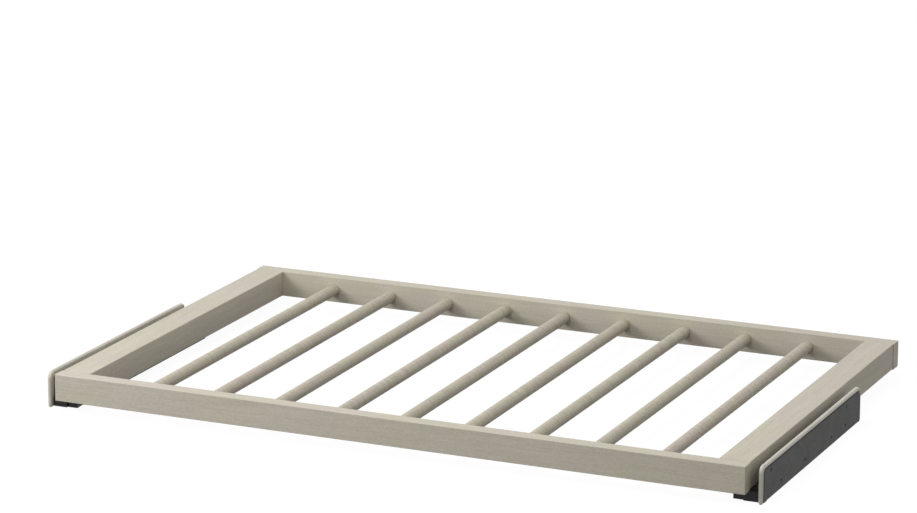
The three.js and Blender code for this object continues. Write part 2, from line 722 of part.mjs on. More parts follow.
function addSide(group, name, side) {
  const cageFoot = (base) => base + stripGauge + rollingGap;
  const pieces = [
    ["bracket_plate", bracketPlate(), colours.plateSteel],
    ["bracket_cover", bracketCover(), colours.coverPlastic],
    ["cabinet_channel", cabinetChannel(), colours.runnerSteel],
    ["middle_channel", middleChannel(), colours.runnerSteel],
    ["rack_channel", rackChannel(), colours.runnerSteel],
    ["outer_ball_cage", ballCage(middleInset, cageFoot(cabinetBase), outerBallHeight), colours.cageSteel],
    ["inner_ball_cage", ballCage(rackChannelInset, cageFoot(middleBase), innerBallHeight),
      colours.cageSteel],
    ["rear_bumper", rearBumper(), colours.blackPlastic],
    ["rear_peg", rearPeg(), colours.zinc],
    ["catch_body", catchBody(), colours.blackPlastic],
    ["catch_lever", catchLever(), colours.blackPlastic],
    ["lever_pin", leverPin(), colours.zinc],
  ];
  rivetSetbacks.forEach((y, i) => pieces.push([`bracket_rivet_${i + 1}`, rivet(y), colours.zinc]));
  screwSetbacks.forEach((y, i) => pieces.push([`catch_screw_${i + 1}`, catchScrew(y), colours.zinc]));
  const half = new THREE.Group();
  half.position.x = side * plateInnerFace;
  for (const [piece, geometry, finish] of pieces) {
    half.add(named(`${name}_${piece}`, side < 0 ? geometry : mirroredAcrossX(geometry), finish));
  }
  group.add(half);
}

const rack = new THREE.Group();
rack.position.y = frontFace;
addFrame(rack);
addSide(rack, "left", -1);
addSide(rack, "right", 1);

export default rack;
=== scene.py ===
"""Looks of a pull out trouser rack for a wardrobe.

A shallow wooden frame in wood-grain foil holds nine rods. At each side a ball bearing runner lies flat
on a folded steel bracket, and a moulded cover follows the bracket's front and top edges. Everything is
in metres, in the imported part's frame: +X right, +Y back, +Z up, with the rack pushed home.
"""

import logging
import math
from dataclasses import dataclass, field
from enum import Enum
from typing import Any, Iterable, Optional, Sequence

import bmesh
import bpy
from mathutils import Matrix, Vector


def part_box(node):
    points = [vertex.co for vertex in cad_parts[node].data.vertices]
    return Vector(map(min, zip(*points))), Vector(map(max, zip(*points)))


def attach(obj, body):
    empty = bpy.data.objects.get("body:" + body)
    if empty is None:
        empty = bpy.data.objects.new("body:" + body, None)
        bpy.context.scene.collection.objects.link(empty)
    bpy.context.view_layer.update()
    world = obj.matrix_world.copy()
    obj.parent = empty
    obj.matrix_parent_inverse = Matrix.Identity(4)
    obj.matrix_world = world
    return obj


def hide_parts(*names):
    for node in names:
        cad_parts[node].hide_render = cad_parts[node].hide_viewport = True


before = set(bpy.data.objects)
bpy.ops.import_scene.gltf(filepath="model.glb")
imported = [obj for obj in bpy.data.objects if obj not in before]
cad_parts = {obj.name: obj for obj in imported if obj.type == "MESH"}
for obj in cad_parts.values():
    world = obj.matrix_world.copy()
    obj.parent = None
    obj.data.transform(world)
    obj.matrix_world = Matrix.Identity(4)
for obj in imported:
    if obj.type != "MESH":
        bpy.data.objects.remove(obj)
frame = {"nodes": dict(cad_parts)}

logging.basicConfig(level=logging.INFO, format="%(message)s")
log = logging.getLogger("trouser_rack")

MM = 0.001
WELD = 0.002 * MM
FLAT_ANGLE = math.radians(1)
OVERRUN = MM
RACK = "rack"
BRACKETS = "brackets"

Point = tuple[float, float]
Triple = tuple[float, float, float]
Colour = tuple[float, float, float]
Socket = bpy.types.NodeSocket


class Side(Enum):
    """The two sides of the rack."""

    LEFT = "left"
    RIGHT = "right"

    @property
    def sign(self) -> int:
        """The sign of X on this side."""
        return -1 if self is Side.LEFT else 1


class End(Enum):
    """The two ends of the rack."""

    FRONT = "front"
    BACK = "back"

    @property
    def sign(self) -> int:
        """The sign of Y at this end."""
        return -1 if self is End.FRONT else 1

    def of(self, low: Vector, high: Vector) -> float:
        """The place in Y of a box's face at this end."""
        return low.y if self is End.FRONT else high.y


class Axis(Enum):
    """The direction that a prism, a turned shape or a grain runs in."""

    X = 0
    Y = 1
    Z = 2

    @property
    def lean(self) -> Triple:
        """The turn that lays an upright tool along this axis."""
        quarter = math.pi / 2
        return ((0.0, quarter, 0.0), (quarter, 0.0, 0.0), (0.0, 0.0, 0.0))[self.value]

    def place(self, a: float, b: float, along: float) -> Vector:
        """A point from its two places in the section and its place along the axis.

        Args:
            a: The place on the first of the other two axes.
            b: The place on the second of the other two axes.
            along: The place on this axis.

        Returns:
            The point.
        """
        parts = [a, b]
        parts.insert(self.value, along)
        return Vector(parts)


class Cut(Enum):
    """What a boolean does."""

    JOIN = "UNION"
    REMOVE = "DIFFERENCE"


def linear(red: int, green: int, blue: int) -> Colour:
    """A colour as light, from its values on a screen.

    Args:
        red: The red part, from 0 to 255.
        green: The green part, from 0 to 255.
        blue: The blue part, from 0 to 255.

    Returns:
        The three parts as light, from 0 to 1.
    """

    def channel(value: int) -> float:
        """One part of the colour as light."""
        share = value / 255
        return share / 12.92 if share <= 0.04045 else ((share + 0.055) / 1.055) ** 2.4

    return channel(red), channel(green), channel(blue)


@dataclass(frozen=True)
class Corner:
    """A corner of an outline and the radius that rounds it."""

    a: float
    b: float
    radius: float = 0.0


def turns(steps: int, sweep: float = math.pi / 2) -> list[float]:
    """The angles of a sweep in equal steps, both ends included."""
    return [sweep * i / steps for i in range(steps + 1)]


def rounded(corners: Sequence[Corner], steps: int = 5) -> list[Point]:
    """Rounds the corners of a closed outline.

    Args:
        corners: The outline's corners in order, each with its own radius.
        steps: How many straight steps make one rounded corner.

    Returns:
        The points of the outline.
    """
    points: list[Point] = []
    for i, corner in enumerate(corners):
        here = Vector((corner.a, corner.b))
        if corner.radius <= 0:
            points.append((corner.a, corner.b))
            continue
        after = corners[(i + 1) % len(corners)]
        before = (Vector((corners[i - 1].a, corners[i - 1].b)) - here).normalized()
        onward = (Vector((after.a, after.b)) - here).normalized()
        half = before.angle(onward) / 2
        reach = corner.radius / math.tan(half)
        centre = here + (before + onward).normalized() * (corner.radius / math.sin(half))
        spoke = here + before * reach - centre
        sweep = (math.pi - 2 * half) * (1 if before.x * onward.y < before.y * onward.x else -1)
        for turn in turns(steps, sweep):
            points.append((
                centre.x + spoke.x * math.cos(turn) - spoke.y * math.sin(turn),
                centre.y + spoke.x * math.sin(turn) + spoke.y * math.cos(turn),
            ))
    return points


def rectangle(a0: float, a1: float, b0: float, b1: float, radii: Sequence[float]) -> list[Point]:
    """A rectangle between a0 and a1 and b0 and b1, with its radii in order from (a0, b0) by (a1, b0)."""
    places = [(a0, b0), (a1, b0), (a1, b1), (a0, b1)]
    return rounded([Corner(a, b, radius) for (a, b), radius in zip(places, radii)])


def domed(radius: float, foot: float, rise: float, steps: int = 6) -> list[Point]:
    """A round head's profile, as radii and heights from its lowest point to its rim, which is higher."""
    return [(radius * math.sin(t), foot + rise * (1 - math.cos(t))) for t in turns(steps)]


class Form:
    """A closed mesh in the making."""

    def __init__(self, mesh: Optional[bpy.types.Mesh] = None) -> None:
        """Starts empty, or from a copy of a mesh."""
        self.bm = bmesh.new()
        if mesh is not None:
            self.bm.from_mesh(mesh)

    @classmethod
    def loft(cls, rings: Sequence[Sequence[Vector]]) -> "Form":
        """A skin over rings of points, with a cap at both ends.

        Args:
            rings: The rings in order, with as many points each.

        Returns:
            The closed form.
        """
        form = cls()
        loops = [[form.bm.verts.new(point) for point in ring] for ring in rings]
        count = len(loops[0])
        for low, high in zip(loops, loops[1:]):
            for i in range(count):
                j = (i + 1) % count
                form.bm.faces.new((low[i], low[j], high[j], high[i]))
        form.bm.faces.new(loops[0][::-1])
        form.bm.faces.new(loops[-1])
        return form.outward()

    @classmethod
    def prism(cls, outline: Sequence[Point], axis: Axis, start: float, stop: float) -> "Form":
        """An outline carried straight along an axis, from start to stop."""
        return cls.loft([[axis.place(a, b, along) for a, b in outline] for along in (start, stop)])

    @classmethod
    def block(cls, low: Triple, high: Triple) -> "Form":
        """A plain block between two corners."""
        outline = rectangle(low[0], high[0], low[1], high[1], (0, 0, 0, 0))
        return cls.prism(outline, Axis.Z, low[2], high[2])

    @classmethod
    def turned(cls, profile: Sequence[Point], centre: Point = (0.0, 0.0), facets: int = 32,
               axis: Axis = Axis.Z) -> "Form":
        """A shape turned round a line along an axis.

        Args:
            profile: Pairs of radius and place along the axis, from one end to the other.
            centre: The line's place on the other two axes.
            facets: How many facets go round.
            axis: The axis that the line follows.

        Returns:
            The turned form.
        """
        round_turns = turns(facets, 2 * math.pi)[:-1]
        return cls.loft([
            [axis.place(centre[0] + reach * math.cos(t), centre[1] + reach * math.sin(t), along)
             for t in round_turns]
            for reach, along in ((max(radius, WELD), along) for radius, along in profile)
        ])

    @classmethod
    def ball(cls, diameter: float) -> "Form":
        """A ball about the origin.

        Args:
            diameter: Its diameter.

        Returns:
            The ball.
        """
        form = cls()
        bmesh.ops.create_uvsphere(form.bm, u_segments=16, v_segments=10, radius=diameter / 2)
        return form.outward()

    @classmethod
    def of_node(cls, node: str) -> "Form":
        """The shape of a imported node, with its loose triangles joined into whole faces."""
        return cls(frame["nodes"][node].data).merged()

    def outward(self) -> "Form":
        """Turns every face outward."""
        bmesh.ops.recalc_face_normals(self.bm, faces=self.bm.faces)
        return self

    def merged(self) -> "Form":
        """Joins doubled points and flat neighbours, and turns every face outward."""
        whole = self.bm
        bmesh.ops.remove_doubles(whole, verts=whole.verts, dist=WELD)
        bmesh.ops.dissolve_limit(whole, angle_limit=FLAT_ANGLE, verts=whole.verts, edges=whole.edges)
        return self.outward()

    def eased(self, width: float, steps: int = 2, angle: float = 50) -> "Form":
        """Rounds the sharp edges.

        Args:
            width: How far the rounding reaches from each edge.
            steps: How many facets it has.
            angle: The least angle, in degrees, between the faces of a sharp edge.

        Returns:
            This form.
        """
        sharp = [
            edge for edge in self.bm.edges
            if len(edge.link_faces) == 2 and edge.calc_face_angle(0) > math.radians(angle)
        ]
        bmesh.ops.bevel(
            self.bm, geom=sharp, offset=width, offset_type="OFFSET", segments=steps,
            profile=0.5, affect="EDGES", clamp_overlap=True,
        )
        return self

    def changed(self, others: Iterable["Form"], cut: Cut) -> "Form":
        """Joins other forms to this one or removes them from it.

        Args:
            others: The other forms, which are used up.
            cut: Whether they are joined or removed.

        Returns:
            The changed form.
        """
        target = self.object("target")
        tools = [other.object("tool") for other in others]
        for tool in tools:
            boolean = target.modifiers.new("boolean", "BOOLEAN")
            boolean.operation = cut.value
            boolean.solver = "EXACT"
            boolean.object = tool
        form = Form(plain_mesh(target))
        for spare in (target, *tools):
            discard(spare)
        return form.merged()

    def object(self, name: str) -> bpy.types.Object:
        """Makes an object of the form, which is then used up.

        Args:
            name: The object's name.

        Returns:
            The object.
        """
        mesh = bpy.data.meshes.new(name)
        self.bm.to_mesh(mesh)
        self.bm.free()
        return linked(name, mesh)


def linked(name: str, data: bpy.types.ID) -> bpy.types.Object:
    """Makes an object of a mesh, a light or a camera and puts it in the scene.

    Args:
        name: The object's name.
        data: What it shows or does.

    Returns:
        The object.
    """
    made = bpy.data.objects.new(name, data)
    bpy.context.scene.collection.objects.link(made)
    return made


def drawn(name: str, points: Iterable[Triple], edges: Sequence[tuple[int, int]] = (),
          faces: Sequence[tuple[int, ...]] = ()) -> bpy.types.Object:
    """Makes an object from points.

    Args:
        name: The object's name.
        points: The points.
        edges: The pairs of points that edges join.
        faces: The points round each face.

    Returns:
        The object.
    """
    mesh = bpy.data.meshes.new(name)
    mesh.from_pydata([Vector(point) for point in points], edges, faces)
    return linked(name, mesh)


def plain_mesh(source: bpy.types.Object) -> bpy.types.Mesh:
    """The mesh of an object with its modifiers applied.

    Args:
        source: The object, which is left as it is.

    Returns:
        A new mesh.
    """
    bpy.context.view_layer.update()
    graph = bpy.context.evaluated_depsgraph_get()
    return bpy.data.meshes.new_from_object(source.evaluated_get(graph))


def discard(spare: bpy.types.Object) -> None:
    """Removes a helper object and its mesh."""
    mesh = spare.data
    bpy.data.objects.remove(spare)
    bpy.data.meshes.remove(mesh)


def settled(made: bpy.types.Object) -> None:
    """Applies an object's modifiers to its mesh and removes them.

    Args:
        made: The object.
    """
    mesh = plain_mesh(made)
    made.modifiers.clear()
    old = made.data
    made.data = mesh
    bpy.data.meshes.remove(old)


class NodeGraph:
    """A node tree in the making."""

    def __init__(self, tree: bpy.types.NodeTree) -> None:
        """Takes the tree that the nodes go into."""
        self.tree = tree

    @staticmethod
    def socket(sockets: Any, key: str) -> Socket:
        """Finds one of a node's sockets.

        Args:
            sockets: The node's inputs or its outputs.
            key: The socket's identifier or else its name.

        Returns:
            The socket.
        """
        for socket in sockets:
            if socket.identifier == key:
                return socket
        return sockets[key]

    def feed(self, socket: Socket, value: Any) -> None:
        """Links an input to another node's output, or sets its value.

        Args:
            socket: The input.
            value: The output or the plain value, which is three parts long for a colour.
        """
        if isinstance(value, Socket):
            self.tree.links.new(value, socket)
        else:
            socket.default_value = (*value, 1.0) if socket.type == "RGBA" else value

    def add(self, kind: str, inputs: Optional[dict[str, Any]] = None, **settings: Any) -> bpy.types.Node:
        """Adds a node.

        Args:
            kind: The node's type.
            inputs: Values or output sockets, by the name or identifier of the input they go to.
            settings: The node's own settings.

        Returns:
            The new node.
        """
        node = self.tree.nodes.new(kind)
        for name, value in settings.items():
            setattr(node, name, value)
        for key, value in (inputs or {}).items():
            self.feed(self.socket(node.inputs, key), value)
        return node

    def maths(self, operation: str, first: Any, second: Any) -> Socket:
        """Adds, multiplies or compares two values."""
        values = {"Value": first, "Value_001": second}
        return self.add("ShaderNodeMath", values, operation=operation).outputs["Value"]


class InputKind(Enum):
    """The kinds of input that the geometry trees have."""

    COUNT = "NodeSocketInt"
    LENGTH = "NodeSocketFloat"
    VECTOR = "NodeSocketVector"
    OBJECT = "NodeSocketObject"
    FINISH = "NodeSocketMaterial"


class GeometryTree(NodeGraph):
    """A Geometry Nodes tree with named inputs."""

    def __init__(self, name: str) -> None:
        """Starts a tree that takes a geometry and gives one back.

        Args:
            name: The tree's name.
        """
        super().__init__(bpy.data.node_groups.new(name, "GeometryNodeTree"))
        for way in ("INPUT", "OUTPUT"):
            self.tree.interface.new_socket("Geometry", in_out=way, socket_type="NodeSocketGeometry")
        self.entry = self.tree.nodes.new("NodeGroupInput")
        self.exit = self.tree.nodes.new("NodeGroupOutput")

    def input(self, name: str, kind: InputKind) -> Socket:
        """Adds a named input and returns the socket that gives its value."""
        self.tree.interface.new_socket(name, in_out="INPUT", socket_type=kind.value)
        return self.entry.outputs[name]

    def row_of(self, piece: Socket) -> Socket:
        """Repeats a piece along a straight row, with inputs for its count, first place and step.

        Args:
            piece: The socket that gives the piece.

        Returns:
            The socket that gives the row.
        """
        line = self.add("GeometryNodeMeshLine", {
            "Count": self.input("Count", InputKind.COUNT),
            "Start Location": self.input("First", InputKind.VECTOR),
            "Offset": self.input("Step", InputKind.VECTOR),
        }, mode="OFFSET")
        copies = {"Points": line.outputs["Mesh"], "Instance": piece}
        return self.add("GeometryNodeInstanceOnPoints", copies).outputs["Instances"]

    def close(self, geometry: Socket) -> "GeometryTree":
        """Ends the tree: instances are made real and the finish is set.

        Args:
            geometry: The socket that gives the tree's result.

        Returns:
            This tree.
        """
        real = self.add("GeometryNodeRealizeInstances", {"Geometry": geometry})
        dressed = self.add("GeometryNodeSetMaterial", {
            "Geometry": real.outputs[0], "Material": self.input("Finish", InputKind.FINISH),
        })
        self.tree.links.new(dressed.outputs[0], self.exit.inputs[0])
        return self

    def run(self, source: bpy.types.Object, sizes: dict[str, Any], finish: "Finish") -> None:
        """Runs the tree on an object and leaves it with the plain result.

        Args:
            source: The object whose mesh goes in and whose mesh is replaced.
            sizes: The values of the named inputs.
            finish: The finish of the result.
        """
        modifier = source.modifiers.new(self.tree.name, "NODES")
        modifier.node_group = self.tree
        values = {**sizes, "Finish": finish.material()}
        for item in self.tree.interface.items_tree:
            if item.item_type == "SOCKET" and item.in_out == "INPUT" and item.name in values:
                modifier[item.identifier] = values[item.name]
        source.update_tag()
        settled(source)


def row_tree() -> GeometryTree:
    """A tree that repeats the object's own mesh along a straight row."""
    tree = GeometryTree("row_of_copies")
    return tree.close(tree.row_of(tree.entry.outputs["Geometry"]))


def rod_tree() -> GeometryTree:
    """A tree that makes a row of round rods, each swept along its own straight line."""
    tree = GeometryTree("row_of_rods")
    far = tree.add("ShaderNodeCombineXYZ", {"Y": tree.input("Length", InputKind.LENGTH)})
    spine = tree.add("GeometryNodeCurvePrimitiveLine", {"End": far.outputs[0]})
    ring = tree.add("GeometryNodeCurvePrimitiveCircle", {
        "Resolution": tree.input("Facets", InputKind.COUNT),
        "Radius": tree.input("Radius", InputKind.LENGTH),
    })
    rod = tree.add("GeometryNodeCurveToMesh", {
        "Curve": spine.outputs[0], "Profile Curve": ring.outputs[0], "Fill Caps": True,
    })
    return tree.close(tree.row_of(rod.outputs[0]))


def hole_tree() -> GeometryTree:
    """A tree that drills a round hole through the mesh at each point of another object."""
    tree = GeometryTree("round_holes")
    places = tree.add("GeometryNodeObjectInfo", {"Object": tree.input("Places", InputKind.OBJECT)})
    drill = tree.add("GeometryNodeMeshCylinder", {
        "Vertices": tree.input("Facets", InputKind.COUNT),
        "Radius": tree.input("Radius", InputKind.LENGTH),
        "Depth": tree.input("Reach", InputKind.LENGTH),
    })
    lean = tree.add("FunctionNodeEulerToRotation", {"Euler": tree.input("Lean", InputKind.VECTOR)})
    drills = tree.add("GeometryNodeInstanceOnPoints", {
        "Points": places.outputs["Geometry"], "Instance": drill.outputs["Mesh"],
        "Rotation": lean.outputs[0],
    })
    drilled = tree.add("GeometryNodeMeshBoolean", {
        "Mesh 1": tree.entry.outputs["Geometry"], "Mesh 2": drills.outputs["Instances"],
    }, operation="DIFFERENCE", solver="EXACT")
    return tree.close(drilled.outputs["Mesh"])


def edging_tree() -> GeometryTree:
    """A tree that carries a section along a path and closes both ends."""
    tree = GeometryTree("edging_along_a_path")
    section = tree.add("GeometryNodeObjectInfo", {"Object": tree.input("Section", InputKind.OBJECT)})
    profile = tree.add("GeometryNodeMeshToCurve", {"Mesh": section.outputs["Geometry"]})
    path = tree.add("GeometryNodeMeshToCurve", {"Mesh": tree.entry.outputs["Geometry"]})
    faced = tree.add("GeometryNodeSetCurveNormal", {
        "Curve": path.outputs[0], "Normal": tree.input("Facing", InputKind.VECTOR),
    }, mode="FREE")
    skin = tree.add("GeometryNodeCurveToMesh", {
        "Curve": faced.outputs[0], "Profile Curve": profile.outputs[0], "Fill Caps": True,
    })
    return tree.close(skin.outputs[0])


@dataclass(frozen=True)
class Pattern:
    """A noise pattern: its features per metre across and along the grain, and its finer layers."""

    across: float
    along: float
    layers: float = 2
    layer_strength: float = 0.55
    warp: float = 0.0


class ShaderGraph(NodeGraph):
    """The nodes of one material, round a Principled shader."""

    def __init__(self, name: str) -> None:
        """Starts a material with its shader and the piece's own coordinates.

        Args:
            name: The material's name.
        """
        self.material = bpy.data.materials.new(name)
        self.material.use_nodes = True
        super().__init__(self.material.node_tree)
        self.shader = self.tree.nodes["Principled BSDF"]
        self.place = self.add("ShaderNodeTexCoord").outputs["Object"]

    def noise(self, pattern: Pattern, grain: Axis = Axis.Y) -> Socket:
        """Draws a noise pattern.

        Args:
            pattern: The pattern.
            grain: The direction of its grain.

        Returns:
            The socket that gives the pattern, from 0 to 1.
        """
        scale = grain.place(pattern.across, pattern.across, pattern.along)
        mapped = self.add("ShaderNodeMapping", {"Vector": self.place, "Scale": scale})
        return self.add("ShaderNodeTexNoise", {
            "Vector": mapped.outputs[0], "Scale": 1.0, "Detail": pattern.layers,
            "Roughness": pattern.layer_strength, "Distortion": pattern.warp,
        }).outputs["Fac"]

    def spread(self, value: Socket, low: float = 0.3, high: float = 0.7, start: float = 0.0,
               stop: float = 1.0) -> Socket:
        """Maps a value from one range to another, without passing its ends.

        Args:
            value: The socket that gives the value.
            low: The value that gives the start.
            high: The value that gives the stop.
            start: The lower end of the result.
            stop: The upper end of the result.

        Returns:
            The socket that gives the result.
        """
        return self.add("ShaderNodeMapRange", {
            "Value": value, "From Min": low, "From Max": high, "To Min": start, "To Max": stop,
        }).outputs["Result"]

    def blend(self, share: Any, first: Any, second: Any, mode: str = "MIX") -> Socket:
        """Mixes two colours.

        Args:
            share: The second colour's share.
            first: The first colour.
            second: The second colour.
            mode: The way of mixing.

        Returns:
            The socket that gives the mixed colour.
        """
        node = self.add("ShaderNodeMix", {
            "Factor_Float": share, "A_Color": first, "B_Color": second,
        }, data_type="RGBA", blend_type=mode)
        return self.socket(node.outputs, "Result_Color")

    def bump(self, height: Socket, depth: float, strength: float = 0.3) -> None:
        """Gives the shader a fine relief of that depth."""
        node = self.add("ShaderNodeBump", {"Height": height, "Distance": depth, "Strength": strength})
        self.feed(self.shader.inputs["Normal"], node.outputs[0])

    def set(self, **values: Any) -> None:
        """Sets the shader's own inputs, with an underscore for a space in a name."""
        for key, value in values.items():
            self.feed(self.shader.inputs[key.replace("_", " ")], value)


@dataclass(frozen=True)
class Finish:
    """A finish of the rack: a material that is made once and shared."""

    name: str
    slot: str
    colour: Colour

    def material(self) -> bpy.types.Material:
        """The finish's material, made on first use."""
        return bpy.data.materials.get(self.name) or self.make(ShaderGraph(self.name))

    def make(self, graph: ShaderGraph) -> bpy.types.Material:
        """Builds the material's nodes."""
        self.draw(graph)
        return graph.material

    def toned(self, factor: float) -> Colour:
        """The finish's colour, darker or lighter by a factor."""
        red, green, blue = self.colour
        return red * factor, green * factor, blue * factor

    def draw(self, graph: ShaderGraph) -> None:
        """Draws the finish's patterns and sets its shader."""
        raise NotImplementedError


@dataclass(frozen=True)
class WoodFoil(Finish):
    """Printed wood-grain foil, with fine streaks, a fine speckle and slow changes of tone."""

    grain: Axis = Axis.X
    shade: Colour = linear(160, 155, 143)
    warm: Colour = linear(255, 251, 248)
    cool: Colour = linear(253, 252, 243)
    rib_share: float = 0.0
    rib_pitch: float = 3 * MM
    streaks: Pattern = Pattern(420, 18, 4, 0.6, 0.4)
    figure: Pattern = Pattern(90, 5, 3, 0.55, 1.2)
    speckle: Pattern = Pattern(700, 350, 3, 0.6)
    pores: Pattern = Pattern(2200, 110)
    clouds: Pattern = Pattern(12, 12)
    streak_share: float = 0.18
    figure_share: float = 0.12
    speckle_share: float = 0.3
    relief: float = 0.08 * MM

    def draw(self, graph: ShaderGraph) -> None:
        """Draws the foil's streaks, figure, speckle, pores and, on a rod, its ribs.

        Args:
            graph: The material's nodes.
        """
        streaks, pores = graph.noise(self.streaks, self.grain), graph.noise(self.pores, self.grain)
        parts = [(streaks, self.streak_share), (graph.noise(self.figure, self.grain), self.figure_share),
                 (graph.noise(self.speckle, self.grain), self.speckle_share)]
        if self.rib_share:
            ribs = Pattern(across=30, along=1 / self.rib_pitch, layers=1, layer_strength=0.6)
            parts.append((graph.noise(ribs, self.grain), self.rib_share))
        tone: Any = 1 - sum(share for _, share in parts)
        for pattern, share in parts:
            tone = graph.maths("ADD", tone, graph.maths("MULTIPLY", graph.spread(pattern), share))
        base = graph.blend(tone, self.shade, self.colour)
        tint = graph.blend(graph.spread(graph.noise(self.clouds), 0.42, 0.58), self.warm, self.cool)
        tinted = graph.blend(1.0, base, tint, "MULTIPLY")
        graph.set(
            Base_Color=graph.blend(graph.spread(pores, 0.66, 0.8, stop=0.25), tinted, self.shade),
            Roughness=graph.spread(streaks, start=0.66, stop=0.54),
            Specular_IOR_Level=0.35,
        )
        graph.bump(graph.maths("SUBTRACT", streaks, pores), self.relief)


@dataclass(frozen=True)
class MouldedPlastic(Finish):
    """Moulded plastic with a fine grain and slow changes of gloss."""

    roughness: float = 0.45
    sheen: float = 0.5
    relief: float = 0.03 * MM
    grain: Pattern = Pattern(2400, 2400)
    flow: Pattern = Pattern(60, 25)

    def draw(self, graph: ShaderGraph) -> None:
        """Draws the plastic's flow and grain.

        Args:
            graph: The material's nodes.
        """
        flow = graph.noise(self.flow)
        graph.set(
            Base_Color=graph.blend(graph.spread(flow, 0.35, 0.65), self.toned(0.88), self.colour),
            Roughness=graph.spread(flow, start=self.roughness - 0.05, stop=self.roughness + 0.06),
            Specular_IOR_Level=self.sheen,
        )
        graph.bump(graph.noise(self.grain), self.relief)


@dataclass(frozen=True)
class CoatedSteel(Finish):
    """Sheet steel under a dull grey coating with a speckled surface."""

    sheen: float = 0.12
    relief: float = 0.06 * MM
    speckle: Pattern = Pattern(420, 420, 4, 0.65)
    clouds: Pattern = Pattern(45, 45, 3)
    speckle_share: float = 0.7
    cloud_share: float = 0.3

    def draw(self, graph: ShaderGraph) -> None:
        """Draws the coating's speckle and clouds.

        Args:
            graph: The material's nodes.
        """
        speckle = graph.noise(self.speckle)
        clouds = graph.spread(graph.noise(self.clouds), 0.35, 0.65)
        tone = graph.maths(
            "ADD", graph.maths("MULTIPLY", graph.spread(speckle, 0.32, 0.68), self.speckle_share),
            graph.maths("MULTIPLY", clouds, self.cloud_share))
        graph.set(
            Base_Color=graph.blend(tone, self.toned(0.66), self.toned(1.4)),
            Roughness=graph.spread(speckle, start=0.55, stop=0.66),
            Specular_IOR_Level=self.sheen,
        )
        graph.bump(speckle, self.relief, strength=0.4)


@dataclass(frozen=True)
class RolledSteel(Finish):
    """Rolled or plated steel with fine lines along the rolling direction."""

    roughness: float = 0.35
    metallic: float = 0.9
    sheen: float = 0.5
    relief: float = 0.02 * MM
    lines: Pattern = Pattern(1500, 20, 3)
    clouds: Pattern = Pattern(80, 30)

    def draw(self, graph: ShaderGraph) -> None:
        """Draws the steel's rolling lines and clouds.

        Args:
            graph: The material's nodes.
        """
        lines = graph.noise(self.lines)
        graph.set(
            Base_Color=graph.blend(graph.spread(graph.noise(self.clouds)), self.toned(0.8), self.colour),
            Roughness=graph.spread(lines, start=self.roughness - 0.07, stop=self.roughness + 0.1),
            Metallic=self.metallic, Specular_IOR_Level=self.sheen,
        )
        graph.bump(lines, self.relief, strength=0.25)


@dataclass(frozen=True)
class BareBeech(Finish):
    """Bare beech with short dark flecks along the grain."""

    relief: float = 0.05 * MM
    fibres: Pattern = Pattern(700, 40, 3)
    flecks: Pattern = Pattern(1500, 240, 1)

    def draw(self, graph: ShaderGraph) -> None:
        """Draws the beech's fibres and flecks.

        Args:
            graph: The material's nodes.
        """
        fibres, dark = graph.noise(self.fibres), self.toned(0.72)
        wood = graph.blend(graph.spread(fibres, 0.35, 0.65), dark, self.colour)
        flecks = graph.spread(graph.noise(self.flecks), 0.64, 0.74, stop=0.6)
        graph.set(
            Base_Color=graph.blend(flecks, wood, dark),
            Roughness=graph.spread(fibres, start=0.6, stop=0.75),
        )
        graph.bump(fibres, self.relief, strength=0.4)


FOIL = linear(217, 212, 200)
END_RAIL_FOIL = WoodFoil("wood_foil_along_the_width", "wood_foil", FOIL, grain=Axis.X)
SIDE_RAIL_FOIL = WoodFoil("wood_foil_along_the_depth", "wood_foil", FOIL, grain=Axis.Y)
ROD_FOIL = WoodFoil(
    "wood_foil_round_the_rods", "rod_foil", linear(219, 213, 199), grain=Axis.Y, rib_share=0.34)
COVER_PLASTIC = MouldedPlastic(
    "moulded_beige_plastic", "cover_plastic", linear(214, 209, 196), roughness=0.42)
BLACK_PLASTIC = MouldedPlastic(
    "moulded_black_plastic", "black_plastic", linear(18, 18, 19), roughness=0.45, sheen=0.3)
PLATE_STEEL = CoatedSteel("coated_sheet_steel", "plate_steel", linear(98, 98, 97))
RUNNER_STEEL = RolledSteel(
    "rolled_runner_steel", "runner_steel", linear(20, 20, 21), roughness=0.55, metallic=0.0, sheen=0.12)
CAGE_STEEL = RolledSteel("bright_strip_steel", "cage_steel", linear(176, 176, 174), roughness=0.3)
ZINC_STEEL = RolledSteel("plated_steel", "zinc_steel", linear(196, 196, 192), roughness=0.28)
BEECH = BareBeech("bare_beech", "beech_dowel", linear(204, 170, 122))


def fitted(made: bpy.types.Object, finish: Finish, body: str, nodes: Sequence[str],
           sharp_angle: float = 40) -> None:
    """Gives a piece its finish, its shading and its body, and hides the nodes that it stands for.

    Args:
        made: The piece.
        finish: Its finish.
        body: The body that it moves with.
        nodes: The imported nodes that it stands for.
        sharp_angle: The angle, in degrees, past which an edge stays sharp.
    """
    made.data.materials.clear()
    made.data.materials.append(finish.material())
    made.data.shade_smooth()
    made.data.set_sharp_from_angle(angle=math.radians(sharp_angle))
    made.modifiers.new("normals", "WEIGHTED_NORMAL").keep_sharp = True
    settled(made)
    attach(made, body)
    if nodes:
        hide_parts(*nodes)
    log.info("%s: %d faces, on %s", made.name, len(made.data.polygons), body)


def dress_node(node: str, finish: Finish) -> None:
    """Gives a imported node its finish.

    Args:
        node: The node.
        finish: Its finish.
    """
    shown = frame["nodes"][node]
    if not shown.material_slots:
        shown.data.materials.append(None)
    for slot in shown.material_slots:
        slot.material = finish.material()
    log.info("%s: dressed in %s", node, finish.name)


def middle_of(node: str) -> Vector:
    """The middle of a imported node's box."""
    low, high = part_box(node)
    return (low + high) / 2


